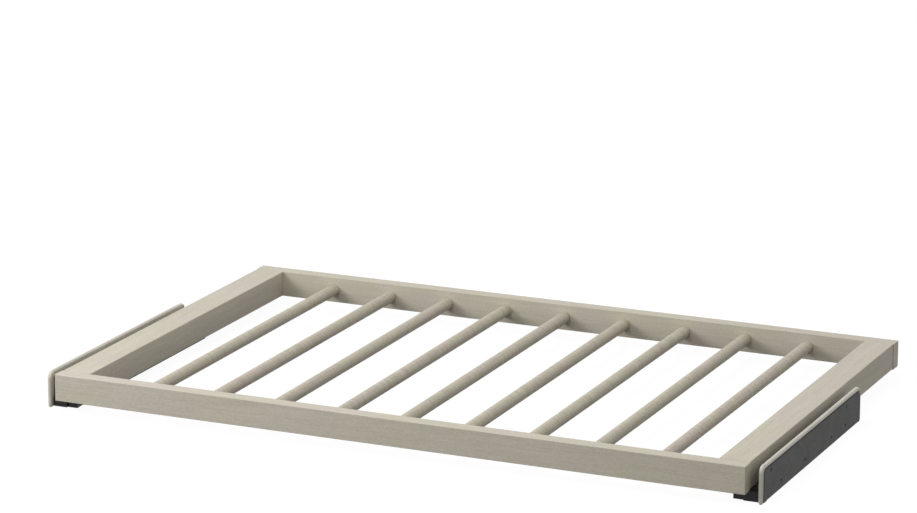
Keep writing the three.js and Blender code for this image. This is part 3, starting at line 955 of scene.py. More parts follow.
@dataclass(frozen=True)
class Drilling:
    """Round holes of one size, all in one direction."""

    places: tuple[Triple, ...]
    diameter: float
    depth: float
    axis: Axis
    facets: int = 40

    @classmethod
    def for_seats(cls, nodes: Sequence[str], face: float, into: int, clearance: float) -> "Drilling":
        """The blind holes that hold round pieces along Y.

        Args:
            nodes: The pieces' nodes.
            face: The place in Y of the face that the holes are drilled in.
            into: The sign of Y from that face into the wood.
            clearance: The gap round each piece.

        Returns:
            The holes, as deep as the pieces reach.
        """
        low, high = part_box(nodes[0])
        depth = high.y - face if into > 0 else face - low.y
        places = tuple((middle_of(node).x, face, middle_of(node).z) for node in nodes)
        return cls(places, high.z - low.z + 2 * clearance, depth, Axis.Y)

    def drill(self, made: bpy.types.Object, tree: GeometryTree, finish: Finish) -> None:
        """Drills the holes into an object.

        Args:
            made: The object.
            tree: The tree that drills round holes.
            finish: The object's finish.
        """
        places = drawn("places", self.places)
        tree.run(made, {
            "Places": places, "Facets": self.facets, "Radius": self.diameter / 2,
            "Reach": 2 * self.depth, "Lean": self.axis.lean,
        }, finish)
        discard(places)


@dataclass
class RackFrame:
    """The sliding frame: four foiled rails, nine rods and the dowels in its corners."""

    trees: dict[str, GeometryTree]
    rod_count: int = 9
    rod_facets: int = 64
    outer_edge_radius: float = 0.8 * MM
    inner_edge_radius: float = 0.7 * MM
    grip_edge_radius: float = 1.2 * MM
    end_edge_radius: float = 0.5 * MM
    rod_clearance: float = 0.25 * MM
    dowel_clearance: float = 0.1 * MM
    joint_closing: float = 0.2 * MM
    joint_bevel: float = 1.2 * MM

    def build(self) -> None:
        """Builds every piece of the frame."""
        for end in End:
            self.end_rail(end)
        for side in Side:
            self.side_rail(side)
        self.rods()
        for name in self.dowel_names():
            dress_node(name, BEECH)

    def rod_names(self) -> list[str]:
        """The rods' nodes from left to right."""
        return [f"rod_{i + 1}" for i in range(self.rod_count)]

    def dowel_names(self) -> list[str]:
        """The nodes of the dowels, which the joints hide."""
        return [f"{side.value}_{end.value}_dowel_{place}"
                for side in Side for end in End for place in ("outer", "inner")]

    def end_rail(self, end: End) -> None:
        """Builds the front or the back rail, with blind holes for the rods and the dowels.

        Args:
            end: The end that the rail is at.
        """
        node = f"{end.value}_rail"
        low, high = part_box(node)
        outer, inner = self.outer_edge_radius, self.inner_edge_radius
        front = end is End.FRONT
        radii = (outer, inner, inner, outer) if front else (inner, outer, outer, inner)
        form = Form.prism(rectangle(low.y, high.y, low.z, high.z, radii), Axis.X, low.x, high.x)
        rail = form.eased(self.end_edge_radius, steps=3).object(f"{node}_foiled")
        face = high.y if front else low.y
        dowels = [name for name in self.dowel_names() if end.value in name]
        for names, clearance in ((self.rod_names(), self.rod_clearance), (dowels, self.dowel_clearance)):
            Drilling.for_seats(names, face, end.sign, clearance).drill(
                rail, self.trees["holes"], END_RAIL_FOIL)
        fitted(rail, END_RAIL_FOIL, RACK, [node])

    def side_rail(self, side: Side) -> None:
        """Builds a side rail, with bevelled joints and blind holes for its dowels.

        Args:
            side: The side that the rail is on.
        """
        node = f"{side.value}_side_rail"
        low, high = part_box(node)
        plain, grip = self.outer_edge_radius, self.grip_edge_radius
        radii = (plain, plain, grip, plain) if side is Side.LEFT else (plain, plain, plain, grip)
        outline = rectangle(low.x, high.x, low.z, high.z, radii)
        form = Form.prism(outline, Axis.Y, low.y - self.joint_closing, high.y + self.joint_closing)
        rail = form.changed(self.joint_bevels(side), Cut.REMOVE).object(f"{node}_foiled")
        for end in End:
            corner = f"{side.value}_{end.value}"
            dowels = [name for name in self.dowel_names() if name.startswith(corner)]
            Drilling.for_seats(dowels, end.of(low, high), -end.sign, self.dowel_clearance).drill(
                rail, self.trees["holes"], SIDE_RAIL_FOIL)
        fitted(rail, SIDE_RAIL_FOIL, RACK, [node])

    def joint_bevels(self, side: Side) -> list[Form]:
        """What the bevels at both ends of a side rail's inner face leave out.

        Args:
            side: The side that the rail is on.

        Returns:
            The waste at its front end and at its back end.
        """
        low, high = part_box(f"{side.value}_side_rail")
        inner = high.x if side is Side.LEFT else low.x
        near, far = inner + side.sign * self.joint_bevel, inner - side.sign * OVERRUN
        bevels = []
        for end in End:
            face = end.of(low, high) + end.sign * self.joint_closing
            past = face + end.sign * OVERRUN
            corner = face - end.sign * (self.joint_bevel + OVERRUN)
            outline = [(near, face), (far, corner), (far, past), (near, past)]
            bevels.append(Form.prism(outline, Axis.Z, low.z - OVERRUN, high.z + OVERRUN))
        return bevels

    def rods(self) -> None:
        """Builds the nine rods as one row."""
        names = self.rod_names()
        low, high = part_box(names[0])
        first, second = middle_of(names[0]), middle_of(names[1])
        rods = drawn("rod_row", ())
        self.trees["rods"].run(rods, {
            "Length": high.y - low.y, "Facets": self.rod_facets, "Radius": (high.z - low.z) / 2,
            "Count": self.rod_count, "First": (first.x, low.y, first.z),
            "Step": (second.x - first.x, 0.0, 0.0),
        }, ROD_FOIL)
        fitted(rods, ROD_FOIL, RACK, names)


@dataclass
class SideFrame:
    """Places on one side of the rack, from the bracket plate's inner face and the rack's front face."""

    side: Side
    plate_thickness: float = 1.5 * MM
    inner_face: float = field(init=False)
    front: float = field(init=False)

    def __post_init__(self) -> None:
        """Reads where the plate and the rack's front face are."""
        low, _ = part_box("left_bracket_plate")
        self.inner_face = -low.x - self.plate_thickness
        self.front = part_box("front_rail")[0].y

    def at(self, inward: float, setback: float, height: float) -> Triple:
        """The point in the frame, from its distances inward and back and its height."""
        return self.side.sign * (self.inner_face - inward), self.front + setback, height

    def placed(self, form: Form) -> Form:
        """Moves a form to its place on this side.

        Args:
            form: The form, drawn inward, back and up.

        Returns:
            The form in the frame.
        """
        for vertex in form.bm.verts:
            vertex.co = Vector(self.at(*vertex.co))
        return form.outward()

    def node(self, piece: str) -> str:
        """The name of this side's node."""
        return f"{self.side.value}_{piece}"

    def pair(self, piece: str) -> list[str]:
        """The names of this side's two nodes of a kind, from front to back."""
        return [self.node(f"{piece}_{i}") for i in (1, 2)]

    def box(self, piece: str) -> tuple[Vector, Vector]:
        """The box of this side's node."""
        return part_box(self.node(piece))

    def inset(self, x: float) -> float:
        """How far inward a place in X lies."""
        return self.inner_face - abs(x)

    def span(self, piece: str) -> tuple[Vector, Vector]:
        """A node's box in distances inward and back, and heights.

        Args:
            piece: The piece's name without its side.

        Returns:
            The lowest and the highest of each.
        """
        low, high = self.box(piece)
        near, far = sorted((self.inset(low.x), self.inset(high.x)))
        return Vector((near, low.y - self.front, low.z)), Vector((far, high.y - self.front, high.z))


@dataclass
class SideGroup:
    """A group of pieces on one side, with the ways of making small pieces that the groups share."""

    frame: SideFrame
    trees: dict[str, GeometryTree]

    def moulded(self, piece: str, body: str, easing: float, angle: float = 40) -> None:
        """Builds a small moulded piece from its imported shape, with its edges rounded.

        Args:
            piece: The piece's name without its side.
            body: The body that it moves with.
            easing: How far the rounding reaches from each edge.
            angle: The least angle, in degrees, at a rounded edge.
        """
        node = self.frame.node(piece)
        made = Form.of_node(node).eased(easing, steps=3, angle=angle).object(f"{node}_moulded")
        fitted(made, BLACK_PLASTIC, body, [node])

    def turned(self, piece: str, profile: Sequence[Point]) -> None:
        """Builds a turned piece of plated steel that moves with the rack.

        Args:
            piece: The piece's name without its side.
            profile: Pairs of radius and height, from its lowest point to its highest.
        """
        node = self.frame.node(piece)
        place = middle_of(node)
        made = Form.turned(profile, (place.x, place.y)).object(f"{node}_turned")
        fitted(made, ZINC_STEEL, RACK, [node])

    def repeated(self, form: Form, name: str, nodes: Sequence[str], body: str) -> None:
        """Builds two like pieces of plated steel, one behind the other.

        Args:
            form: One of them, over the origin.
            name: Their name without the side.
            nodes: Their two nodes, from front to back.
            body: The body that they move with.
        """
        first, second = (middle_of(node) for node in nodes)
        made = form.object(self.frame.node(name))
        self.trees["row"].run(made, {
            "Count": len(nodes), "First": (first.x, first.y, 0.0),
            "Step": (0.0, second.y - first.y, 0.0),
        }, ZINC_STEEL)
        fitted(made, ZINC_STEEL, body, nodes)


@dataclass
class SideBracket(SideGroup):
    """The folded steel plate that is fixed to the wardrobe, its moulded cover and its rivets."""

    setback: float = 11 * MM
    length: float = 363 * MM
    plate_foot: float = 1.2 * MM
    back_corner_radius: float = 4 * MM
    least_corner_radius: float = 1 * MM
    outline_steps: int = 10
    flange_lead: float = 0.6 * MM
    bend_radius: float = 0.7 * MM
    bend_steps: int = 5
    fold_radius: float = 1.3 * MM
    fold_steps: int = 8
    edge_easing: float = 0.15 * MM
    flange_easing: float = 0.3 * MM
    stagger: float = 0.03 * MM
    hole_diameter: float = 4.4 * MM
    sink_diameter: float = 6.8 * MM
    sink_depth: float = 1.1 * MM
    hole_facets: int = 40
    upper_row: float = 34.3 * MM
    lower_row: float = 10.6 * MM
    upper_shares: tuple[float, ...] = (0.081, 0.848)
    lower_shares: tuple[float, ...] = (0.184, 0.423, 0.694, 0.842)
    cover_width: float = 5.7 * MM
    cover_corner_radius: float = 10 * MM
    cover_crown: float = 2.8 * MM
    cover_curl: float = math.radians(36)
    crown_steps: int = 18
    leg_depth: float = 8 * MM
    lip_thickness: float = 0.7 * MM
    lip_gap: float = 1.8 * MM
    leg_edge_radius: float = 0.8 * MM
    lip_edge_radius: float = 0.25 * MM
    slot_gap: float = 0.3 * MM
    end_radius: float = 9 * MM
    tip_radius: float = 3 * MM
    blunt_share: float = 0.2
    nose_steps: int = 10
    corner_steps: int = 20
    foot_clearance: float = 0.05 * MM
    rivet_head_radius: float = 4 * MM
    rivet_head_rise: float = 0.7 * MM
    rivet_shank_radius: float = 2 * MM
    rivet_hole_diameter: float = 4.3 * MM
    rivet_hole_depth: float = 4 * MM
    clench_radius: float = 3.2 * MM
    clench_height: float = 0.3 * MM
    clench_bevel: float = 0.2 * MM
    clench_bevel_drop: float = 0.05 * MM

    def build(self) -> None:
        """Builds the bracket's pieces."""
        self.plate()
        self.cover()
        self.rivets()

    @property
    def top(self) -> float:
        """The height of the cover's top."""
        return self.frame.box("bracket_cover")[1].z

    @property
    def back(self) -> float:
        """The setback of the bracket's back end."""
        return self.setback + self.length

    @property
    def lip_depth(self) -> float:
        """How far inside the cover's outer edge its lip ends."""
        return self.cover_crown * (1 + math.sin(self.cover_curl))

    @property
    def lip_inner(self) -> float:
        """How far inside the cover's outer face the lip's inner face lies."""
        return self.cover_width / 2 * (1 - math.cos(self.cover_curl)) + self.lip_thickness

    def sheet(self, inset: float, near: float, far: float, lag: float, bend: float = 0.0) -> Form:
        """A flat sheet with the plate's outline.

        Args:
            inset: How far inside the cover's outer edge its front and top edges lie.
            near: Its outer face, measured inward.
            far: Its inner face, measured inward.
            lag: How far its foot and back lie inside the plate's, so that no two sheets share a plane.
            bend: The radius that rounds the front and top edges of its outer face.

        Returns:
            The sheet.
        """
        rings = []
        foot, back = self.plate_foot + lag, self.back - lag
        for turn in turns(self.bend_steps):
            border = inset + bend * (1 - math.sin(turn))
            front, top = self.setback + border, self.top - border
            outline = rounded([
                Corner(front, foot), Corner(back, foot, self.back_corner_radius),
                Corner(back, top, self.end_radius),
                Corner(front, top, max(self.cover_corner_radius - border, self.least_corner_radius)),
            ], self.outline_steps)
            along = near + bend * (1 - math.cos(turn))
            rings.append([Axis.X.place(a, b, along) for a, b in outline])
        rings.append([Vector((far, point.y, point.z)) for point in rings[-1]])
        return Form.loft(rings if bend else rings[-2:])

    def plate(self) -> None:
        """Builds the plate: its joggled rim, its flat face, its flange and its holes."""
        node = self.frame.node("bracket_plate")
        thickness, foot, easing = self.frame.plate_thickness, self.plate_foot, self.flange_easing
        joggle = self.lip_inner + self.slot_gap
        face_inset = self.lip_depth + self.lip_gap
        rim = self.sheet(self.cover_crown + self.slot_gap, joggle - thickness, joggle, 2 * self.stagger)
        face = self.sheet(face_inset, -thickness, joggle / 2, self.stagger, self.bend_radius)
        hollow_inset = face_inset + thickness
        hollow = Form.block((0.0, self.setback + hollow_inset, foot - OVERRUN),
                            (joggle + OVERRUN, self.back + OVERRUN, self.top - hollow_inset))
        reach = self.frame.span("bracket_plate")[1].x
        start = self.frame.span("cabinet_channel")[0].y - self.flange_lead
        stop = self.back - self.back_corner_radius
        flange = Form.prism(
            rectangle(-thickness / 2, reach, foot, foot + thickness, (0, easing, easing, 0)),
            Axis.Y, start, stop)
        form = rim
        for part, cut in ((face, Cut.JOIN), (hollow, Cut.REMOVE), (flange, Cut.JOIN),
                          (self.fold_waste(start, stop), Cut.REMOVE)):
            form = form.changed([part], cut)
        form = form.eased(self.edge_easing, steps=1, angle=70).changed(self.screw_holes(), Cut.REMOVE)
        plate = self.frame.placed(form).object(f"{node}_folded")
        self.rivet_holes().drill(plate, self.trees["holes"], PLATE_STEEL)
        fitted(plate, PLATE_STEEL, BRACKETS, [node])

    def fold_waste(self, start: float, stop: float) -> Form:
        """What the round fold at the foot of the face leaves out of a sharp corner.

        Args:
            start: The setback of the flange's front end.
            stop: The setback of its back end.

        Returns:
            The waste.
        """
        fold, outer, foot = self.fold_radius, -self.frame.plate_thickness, self.plate_foot
        outline = [(outer - OVERRUN, foot - OVERRUN), (outer + fold, foot - OVERRUN)]
        outline += [(outer + fold * (1 - math.sin(t)), foot + fold * (1 - math.cos(t)))
                    for t in turns(self.fold_steps)]
        return Form.prism([*outline, (outer - OVERRUN, foot + fold)], Axis.Y, start, stop)

    def screw_holes(self) -> list[Form]:
        """The waste of the screw holes, whose countersinks open towards the runner."""
        narrow, wide = self.hole_diameter / 2, self.sink_diameter / 2
        profile = [(narrow, -self.frame.plate_thickness - OVERRUN), (narrow, -self.sink_depth),
                   (wide, 0.0), (wide, OVERRUN)]
        rows = ((self.upper_shares, self.upper_row), (self.lower_shares, self.lower_row))
        places = [(self.setback + share * self.length, self.plate_foot + height)
                  for shares, height in rows for share in shares]
        return [Form.turned(profile, place, self.hole_facets, Axis.X) for place in places]

    def rivet_holes(self) -> Drilling:
        """The rivets' holes in the flange."""
        places = [middle_of(name) for name in self.frame.pair("bracket_rivet")]
        return Drilling(tuple((place.x, place.y, self.plate_foot) for place in places),
                        self.rivet_hole_diameter, self.rivet_hole_depth, Axis.Z)

    def cover_section(self) -> list[Point]:
        """The cover's section: pairs of the distance inward from its middle and the depth from there."""
        half = self.cover_width / 2
        slot_outer = self.lip_inner - half
        slot_inner = slot_outer + self.frame.plate_thickness + 2 * self.slot_gap
        crown = [Corner(half * math.cos(t), self.cover_crown * (1 - math.sin(t)))
                 for t in turns(self.crown_steps, math.pi + self.cover_curl)]
        crown[-1] = Corner(crown[-1].a, crown[-1].b, self.lip_edge_radius)
        rest = [
            Corner(slot_outer, self.lip_depth, self.lip_edge_radius),
            Corner(slot_outer, self.cover_crown), Corner(slot_inner, self.cover_crown),
            Corner(slot_inner, self.leg_depth, self.leg_edge_radius),
            Corner(half, self.leg_depth, self.leg_edge_radius),
        ]
        return [(a, b - half) for a, b in rounded([*crown, *rest], steps=4)]

    def cover_path(self) -> list[Point]:
        """The path of the section's middle, as setbacks and heights from the foot to the back."""
        centre = self.cover_width / 2
        front, top = self.setback + centre, self.top - centre
        radius = self.cover_corner_radius - centre
        foot = self.frame.box("bracket_cover")[0].z + self.foot_clearance
        shares = [1 - math.cos(t) for t in turns(self.nose_steps)]
        path = [(front, foot + self.tip_radius * share) for share in shares]
        path += [(front + radius * (1 - math.cos(t)), top - radius * (1 - math.sin(t)))
                 for t in turns(self.corner_steps)]
        path += [(self.back - self.end_radius * share, top) for share in reversed(shares)]
        return path

    def nosed(self, form: Form) -> Form:
        """Draws the swept cover in to a round nose at its back end and at its foot.

        Args:
            form: The swept cover.

        Returns:
            The same form with its noses.
        """
        middle = middle_of(self.frame.node("bracket_cover")).x
        half = self.cover_width / 2
        base = self.top - self.leg_depth
        spine = self.frame.front + self.setback + half
        for vertex in form.bm.verts:
            place = vertex.co
            behind = self.frame.front + self.back - place.y
            narrow = 1.0
            if behind < self.end_radius:
                drop = self.end_radius * (1 - self.quarter_round(behind / self.end_radius))
                place.z = base + (place.z - base) * max(1 - drop / self.leg_depth, 0.0)
                narrow = self.quarter_round(behind / half)
            elif place.z < self.tip_radius:
                narrow = self.quarter_round(place.z / self.tip_radius)
                place.y = spine + (place.y - spine) * narrow
            place.x = middle + (place.x - middle) * narrow
        return form.outward()

    def quarter_round(self, share: float) -> float:
        """The height of a quarter round at a share of its length, kept above a blunt end."""
        inset = 1 - min(max(share, 0.0), 1.0)
        return max(math.sqrt(1 - inset * inset), self.blunt_share)

    def cover(self) -> None:
        """Builds the cover, whose section follows the plate's front and top edges."""
        node = self.frame.node("bracket_cover")
        middle, sign = middle_of(node).x, -self.frame.side.sign
        section = [(sign * a, b, 0.0) for a, b in self.cover_section()]
        path = [(middle, self.frame.front + y, z) for y, z in self.cover_path()]
        profile = drawn("section", section, [(i, (i + 1) % len(section)) for i in range(len(section))])
        cover = drawn(f"{node}_moulded", path, [(i, i + 1) for i in range(len(path) - 1)])
        self.trees["edging"].run(cover, {"Section": profile, "Facing": (1.0, 0.0, 0.0)}, COVER_PLASTIC)
        discard(profile)
        form = self.nosed(Form(cover.data))
        form.bm.to_mesh(cover.data)
        form.bm.free()
        fitted(cover, COVER_PLASTIC, BRACKETS, [node])

    def rivets(self) -> None:
        """Builds the two rivets that hold the runner to the flange."""
        names = self.frame.pair("bracket_rivet")
        low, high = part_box(names[0])
        shank, clench, rise = self.rivet_shank_radius, self.clench_radius, self.rivet_head_rise
        under = high.z - self.clench_height
        profile = [*domed(self.rivet_head_radius, low.z, rise), (shank, low.z + rise), (shank, under),
                   (clench, under), (clench, high.z - self.clench_bevel_drop),
                   (clench - self.clench_bevel, high.z), (0.0, high.z)]
        self.repeated(Form.turned(profile), "bracket_rivets", names, BRACKETS)


@dataclass
class Runner(SideGroup):
    """The ball bearing runner: three channels that lie flat, one in another, and two ball cages."""

    gauge: float = 1.2 * MM
    middle_leg_gauge: float = 1.4 * MM
    bend_radius: float = 1.3 * MM
    edge_radius: float = 0.35 * MM
    edge_easing: float = 0.12 * MM
    groove_depth: float = 0.45 * MM
    groove_mouth: float = 2.6 * MM
    groove_steps: int = 6
    rivet_head_hole: float = 6.7 * MM
    peg_hole: float = 5.3 * MM
    web_hole_depth: float = 3 * MM
    tooth_length: float = 5 * MM
    lever_thickness: float = 2.4 * MM
    window_gap: float = 0.6 * MM
    outer_ball_rise: float = 6.2 * MM
    inner_ball_rise: float = 5.2 * MM
    ball_diameter: float = 3 * MM
    ball_sink: float = 0.3 * MM
    balls_per_row: int = 4
    ball_window: float = 3.3 * MM
    window_reach: float = 20 * MM
    cage_gauge: float = 0.5 * MM
    cage_height: float = 6.6 * MM
    cage_bend_radius: float = 0.7 * MM
    cage_inner_radius: float = 0.3 * MM
    cage_edge_radius: float = 0.15 * MM
    bumper_easing: float = 0.4 * MM
    peg_head_height: float = 1.6 * MM
    peg_head_bevel: float = 0.4 * MM
    peg_collar_bevel: float = 0.1 * MM
    peg_radius: float = 2.5 * MM
    peg_taper: float = 2.5 * MM
    peg_tip_radius: float = 1.6 * MM
    peg_tip_height: float = 0.8 * MM

    def build(self) -> None:
        """Builds the runner's pieces."""
        side = self.frame.side.value
        self.channel("cabinet_channel", BRACKETS)
        self.channel("middle_channel", f"{side}_middle_member")
        self.channel("rack_channel", RACK)
        self.cage("outer", "cabinet_channel", "middle_channel", self.outer_ball_rise)
        self.cage("inner", "middle_channel", "rack_channel", self.inner_ball_rise)
        self.moulded("rear_bumper", BRACKETS, self.bumper_easing, angle=35)
        self.peg()

    def groove(self, face: float, height: float, towards: int, rising: bool) -> list[Corner]:
        """A ball groove in a leg's face.

        Args:
            face: The face's distance inward.
            height: The height of the balls' centres.
            towards: The direction that the groove is cut in, 1 for inward and -1 for outward.
            rising: True if the outline runs upwards here.

        Returns:
            The groove's points.
        """
        half, depth = self.groove_mouth / 2, self.groove_depth
        radius = (half ** 2 + depth ** 2) / (2 * depth)
        sweep = math.asin(half / radius)
        corners = []
        for turn in turns(self.groove_steps, 2 * sweep):
            out = radius * math.cos(turn - sweep) - (radius - depth)
            corners.append(Corner(face + towards * out, height + radius * math.sin(turn - sweep)))
        return corners if rising else corners[::-1]

    @staticmethod
    def folded(half: Sequence[Corner], low: Vector, high: Vector) -> Form:
        """A strip of that box whose section is mirrored from its outer half."""
        other = [Corner(low.x + high.x - c.a, c.b, c.radius) for c in reversed(half)]
        return Form.prism(rounded([*half, *other], steps=4), Axis.Y, low.y, high.y)

    def channel(self, piece: str, body: str) -> None:
        """Builds one of the three channels.

        Args:
            piece: The channel's name without its side.
            body: The body that it moves with.
        """
        node = self.frame.node(piece)
        low, high = self.frame.span(piece)
        if piece == "rack_channel":
            form = self.folded(self.hat_section(low, high), low, high)
            form = form.changed([self.tooth_window(low)], Cut.REMOVE)
        else:
            form = self.folded(self.trough_section(piece, low, high), low, high)
        eased = form.eased(self.edge_easing, steps=1, angle=70)
        made = self.frame.placed(eased).object(f"{node}_rolled")
        for drilling in self.web_holes(piece):
            drilling.drill(made, self.trees["holes"], RUNNER_STEEL)
        fitted(made, RUNNER_STEEL, body, [node])

    def trough_section(self, piece: str, low: Vector, high: Vector) -> list[Corner]:
        """The outer half of the section of a channel that is open above.

        Args:
            piece: The channel's name without its side.
            low: The lowest corner of its box.
            high: The highest corner of its box.

        Returns:
            The half from the web's inside to its outside.
        """
        outer, base, head = low.x, low.z, high.z
        cabinet = piece == "cabinet_channel"
        inner = outer + (self.gauge if cabinet else self.middle_leg_gauge)
        outer_balls = self.frame.box("cabinet_channel")[0].z + self.outer_ball_rise
        inside = outer_balls if cabinet else base + self.inner_ball_rise
        half = [Corner(inner, base + self.gauge, self.edge_radius),
                *self.groove(inner, inside, -1, True),
                Corner(inner, head, self.edge_radius), Corner(outer, head, self.edge_radius)]
        if not cabinet:
            half += self.groove(outer, outer_balls, 1, False)
        return [*half, Corner(outer, base, self.bend_radius)]

    def hat_section(self, low: Vector, high: Vector) -> list[Corner]:
        """The outer half of the section of the rack channel, which is open below.

        Args:
            low: The lowest corner of its box.
            high: The highest corner of its box.

        Returns:
            The half from the web's inside to its outside.
        """
        outer, foot, top = low.x, low.z, high.z
        inner = outer + self.gauge
        balls = self.frame.box("middle_channel")[0].z + self.inner_ball_rise
        return [Corner(inner, top - self.gauge, self.edge_radius), Corner(inner, foot, self.edge_radius),
                Corner(outer, foot, self.edge_radius), *self.groove(outer, balls, 1, True),
                Corner(outer, top, self.bend_radius)]

    def tooth_window(self, low: Vector) -> Form:
        """The window in the rack channel's outer leg that takes the lever's tooth.

        Args:
            low: The lowest corner of the channel's box.

        Returns:
            The waste of the window.
        """
        lever = self.frame.span("catch_lever")[1]
        gap = self.window_gap
        foot = lever.z - self.lever_thickness - gap
        return Form.block((low.x - OVERRUN, lever.y - self.tooth_length - gap, foot),
                          (low.x + self.gauge + OVERRUN, lever.y + 2 * gap, lever.z + gap))

    def web_holes(self, piece: str) -> list[Drilling]:
        """The round holes in a channel's web.

        Args:
            piece: The channel's name without its side.

        Returns:
            One set of holes, or none.
        """
        foot, top = (corner.z for corner in self.frame.box(piece))
        holes = {
            "cabinet_channel": (self.frame.pair("bracket_rivet"), foot, self.rivet_head_hole),
            "rack_channel": ([self.frame.node("rear_peg")], top, self.peg_hole),
        }
        if piece not in holes:
            return []
        names, height, diameter = holes[piece]
        places = tuple((middle_of(name).x, middle_of(name).y, height) for name in names)
        return [Drilling(places, diameter, self.web_hole_depth, Axis.Z)]

    def cage(self, place: str, below: str, race: str, rise: float) -> None:
        """Builds a ball cage: a thin strip with windows, and the balls that run in them.

        Args:
            place: Which of the two cages it is.
            below: The channel that its balls run in.
            race: The channel inside, whose legs the balls also touch.
            rise: The height of the balls' centres over the foot of the channel below.
        """
        node = self.frame.node(f"{place}_ball_cage")
        body = f"{self.frame.side.value}_{place}_balls"
        low, high = self.frame.span(f"{place}_ball_cage")
        leg_face = self.frame.span(race)[0].x
        middle = (low.x + high.x) / 2
        row = leg_face - self.ball_diameter / 2 + self.ball_sink
        leg, strip_gauge, edge = row - self.cage_gauge / 2, self.cage_gauge, self.cage_edge_radius
        head = low.z + self.cage_height
        half = [Corner(leg + strip_gauge, low.z + strip_gauge, self.cage_inner_radius),
                Corner(leg + strip_gauge, head, edge), Corner(leg, head, edge),
                Corner(leg, low.z, self.cage_bend_radius)]
        strip = self.frame.placed(self.folded(half, low, high)).object(f"{node}_strip")
        height = self.frame.box(below)[0].z + rise
        pitch = (high.y - low.y) / self.balls_per_row
        setbacks = [low.y + (i + 0.5) * pitch for i in range(self.balls_per_row)]
        windows = tuple(self.frame.at(middle, setback, height) for setback in setbacks)
        Drilling(windows, self.ball_window, self.window_reach, Axis.X).drill(
            strip, self.trees["holes"], CAGE_STEEL)
        fitted(strip, CAGE_STEEL, body, [node])
        for name, inward in (("near", row), ("far", 2 * middle - row)):
            balls = Form.ball(self.ball_diameter).object(
                f"{self.frame.side.value}_{place}_ball_row_{name}")
            self.trees["row"].run(balls, {
                "Count": self.balls_per_row, "First": self.frame.at(inward, setbacks[0], height),
                "Step": (0.0, pitch, 0.0),
            }, ZINC_STEEL)
            fitted(balls, ZINC_STEEL, body, [])

    def peg(self) -> None:
        """Builds the peg that locates the back of the frame."""
        low, high = self.frame.box("rear_peg")
        head, rim = (high.x - low.x) / 2, low.z + self.peg_head_height
        bevel, collar = self.peg_head_bevel, self.peg_collar_bevel
        self.turned("rear_peg", [
            (0.0, low.z), (head - bevel, low.z), (head, low.z + bevel), (head, rim - collar),
            (head - collar, rim), (self.peg_radius, rim), (self.peg_radius, high.z - self.peg_taper),
            (self.peg_tip_radius, high.z - self.peg_tip_height), (0.0, high.z),
        ])


@dataclass
class Catch(SideGroup):
    """The catch that locks the front of the frame to the runner, with its lever, pin and screws."""

    body_easing: float = 0.45 * MM
    lever_easing: float = 0.9 * MM
    shank_radius: float = 1.5 * MM
    pin_head_height: float = 0.8 * MM
    pin_bevel: float = 0.3 * MM
    pin_tip_length: float = 0.5 * MM
    screw_head_height: float = 1.5 * MM
    screw_dome_rise: float = 0.9 * MM
    screw_tip_length: float = 2 * MM
    recess_reach: float = 1.7 * MM
    recess_half_width: float = 0.4 * MM
    recess_depth: float = 1.1 * MM

    def build(self) -> None:
        """Builds the catch's pieces."""
        self.moulded("catch_body", RACK, self.body_easing)
        self.moulded("catch_lever", f"{self.frame.side.value}_release_lever", self.lever_easing)
        self.pin()
        self.screws()

    def pin(self) -> None:
        """Builds the lever's pin."""
        low, high = self.frame.box("lever_pin")
        head, rim = (high.x - low.x) / 2, low.z + self.pin_head_height
        shank, bevel = self.shank_radius, self.pin_bevel
        self.turned("lever_pin", [
            (0.0, low.z), (head - bevel, low.z), (head, low.z + bevel), (head, rim), (shank, rim),
            (shank, high.z - self.pin_tip_length), (shank - bevel, high.z), (0.0, high.z),
        ])

    def screws(self) -> None:
        """Builds the two screws, with a cross recess in each head."""
        names = self.frame.pair("catch_screw")
        low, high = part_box(names[0])
        head, rim, shank = (high.x - low.x) / 2, low.z + self.screw_head_height, self.shank_radius
        profile = [*domed(head, low.z, self.screw_dome_rise), (head, rim), (shank, rim),
                   (shank, high.z - self.screw_tip_length), (0.0, high.z)]
        long, wide = self.recess_reach, self.recess_half_width
        under, over = low.z - OVERRUN, low.z + self.recess_depth
        cross = [Form.block((-x, -y, under), (x, y, over)) for x, y in ((long, wide), (wide, long))]
        screw = Form.turned(profile).changed(cross, Cut.REMOVE)
        self.repeated(screw, "catch_screws", names, RACK)


@dataclass
class Lamp:
    """A square soft light."""

    name: str
    place: Triple
    target: Triple
    size: float
    power: float

    def build(self) -> None:
        """Hangs the light and aims it."""
        data = bpy.data.lights.new(self.name, "AREA")
        data.size = self.size
        data.energy = self.power
        lamp = linked(self.name, data)
        lamp.location = self.place
        aim = Vector(self.target) - Vector(self.place)
        lamp.rotation_euler = aim.to_track_quat("-Z", "Y").to_euler()


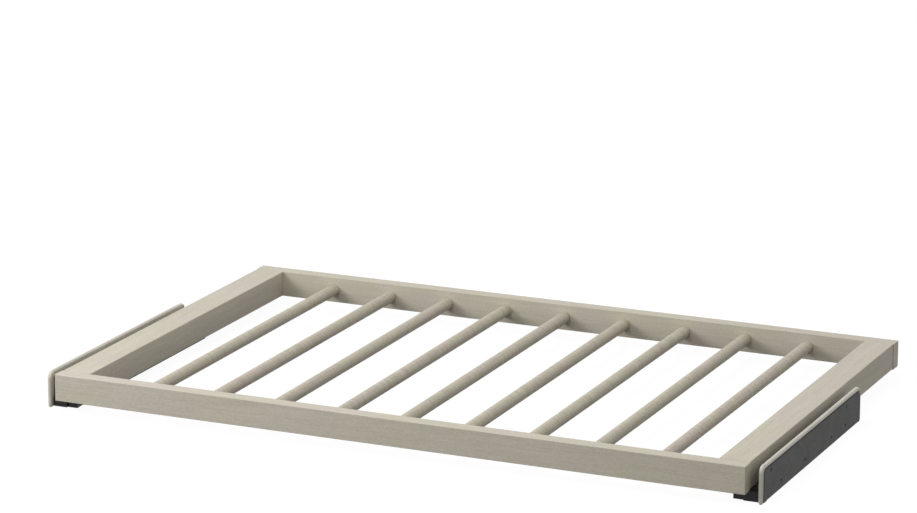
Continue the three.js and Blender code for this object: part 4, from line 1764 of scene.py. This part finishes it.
@dataclass
class Studio:
    """The pale floor, the soft light and the camera."""

    camera_place: Triple = (1.9136, -4.3593, 1.4475)
    camera_pitch: float = 75.123
    camera_turn: float = 24.078
    lens: float = 151.5
    sensor: float = 36.0
    nearest: float = 0.1
    farthest: float = 200.0
    floor_half: float = 30.0
    floor_shade: float = 0.08
    floor_glow: float = 0.95
    ambient: float = 0.6
    white: Colour = (1.0, 1.0, 1.0)
    lamps: tuple[Lamp, ...] = (
        Lamp("overhead_softbox", (-0.3, -0.6, 2.4), (0.0, 0.0, 0.0), 0.8, 13.5),
        Lamp("left_front_softbox", (-1.55, -1.6, 1.0), (-0.3, -0.2, 0.02), 0.8, 22.5),
    )

    def build(self) -> None:
        """Sets up the floor, the light and the camera."""
        self.floor()
        self.sky()
        for lamp in self.lamps:
            lamp.build()
        self.camera()
        bpy.context.scene.view_settings.view_transform = "Standard"

    @staticmethod
    def seen_directly(graph: NodeGraph) -> Socket:
        """A socket that is 1 for rays that come from the camera, a mirror-like surface or glass.

        Args:
            graph: The nodes that the socket is for.

        Returns:
            The socket.
        """
        rays = graph.add("ShaderNodeLightPath").outputs
        seen = graph.maths("MAXIMUM", rays["Is Camera Ray"], rays["Is Glossy Ray"])
        return graph.maths("MAXIMUM", seen, rays["Is Transmission Ray"])

    def floor(self) -> None:
        """Lays a white floor that keeps a faint shadow."""
        half = self.floor_half
        corners = [(-half, -half, 0.0), (half, -half, 0.0), (half, half, 0.0), (-half, half, 0.0)]
        floor = drawn("floor", corners, faces=[(0, 1, 2, 3)])
        material = bpy.data.materials.new("floor_white")
        material.use_nodes = True
        graph = NodeGraph(material.node_tree)
        graph.tree.nodes.clear()
        shade = graph.add("ShaderNodeBsdfDiffuse", {"Color": (self.floor_shade,) * 3})
        glow = graph.add("ShaderNodeEmission", {
            "Color": self.white,
            "Strength": graph.maths("MULTIPLY", self.seen_directly(graph), self.floor_glow),
        })
        both = graph.add("ShaderNodeAddShader", {
            "Shader": shade.outputs[0], "Shader_001": glow.outputs[0],
        })
        graph.add("ShaderNodeOutputMaterial", {"Surface": both.outputs[0]})
        floor.data.materials.append(material)

    def sky(self) -> None:
        """Makes the surroundings white where they are seen and soft where they light the rack."""
        world = bpy.data.worlds.new("surroundings")
        world.use_nodes = True
        bpy.context.scene.world = world
        graph = NodeGraph(world.node_tree)
        strength = graph.add("ShaderNodeMapRange", {
            "Value": self.seen_directly(graph), "To Min": self.ambient, "To Max": 1.0,
        })
        background = graph.tree.nodes["Background"]
        graph.feed(background.inputs["Color"], self.white)
        graph.feed(background.inputs["Strength"], strength.outputs["Result"])

    def camera(self) -> None:
        """Sets the camera at the photograph's place and angle."""
        data = bpy.data.cameras.new("camera")
        data.lens = self.lens
        data.sensor_width = self.sensor
        data.sensor_fit = "HORIZONTAL"
        data.clip_start, data.clip_end = self.nearest, self.farthest
        camera = linked("camera", data)
        camera.location = self.camera_place
        camera.rotation_euler = (math.radians(self.camera_pitch), 0.0, math.radians(self.camera_turn))
        bpy.context.scene.camera = camera


def main() -> None:
    """Builds the rack's looks piece by piece."""
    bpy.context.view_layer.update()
    Studio().build()
    trees = {"row": row_tree(), "rods": rod_tree(), "holes": hole_tree(), "edging": edging_tree()}
    RackFrame(trees).build()
    for side in Side:
        place = SideFrame(side)
        for group in (SideBracket, Runner, Catch):
            group(place, trees).build()


if __name__ == "__main__":
    main()
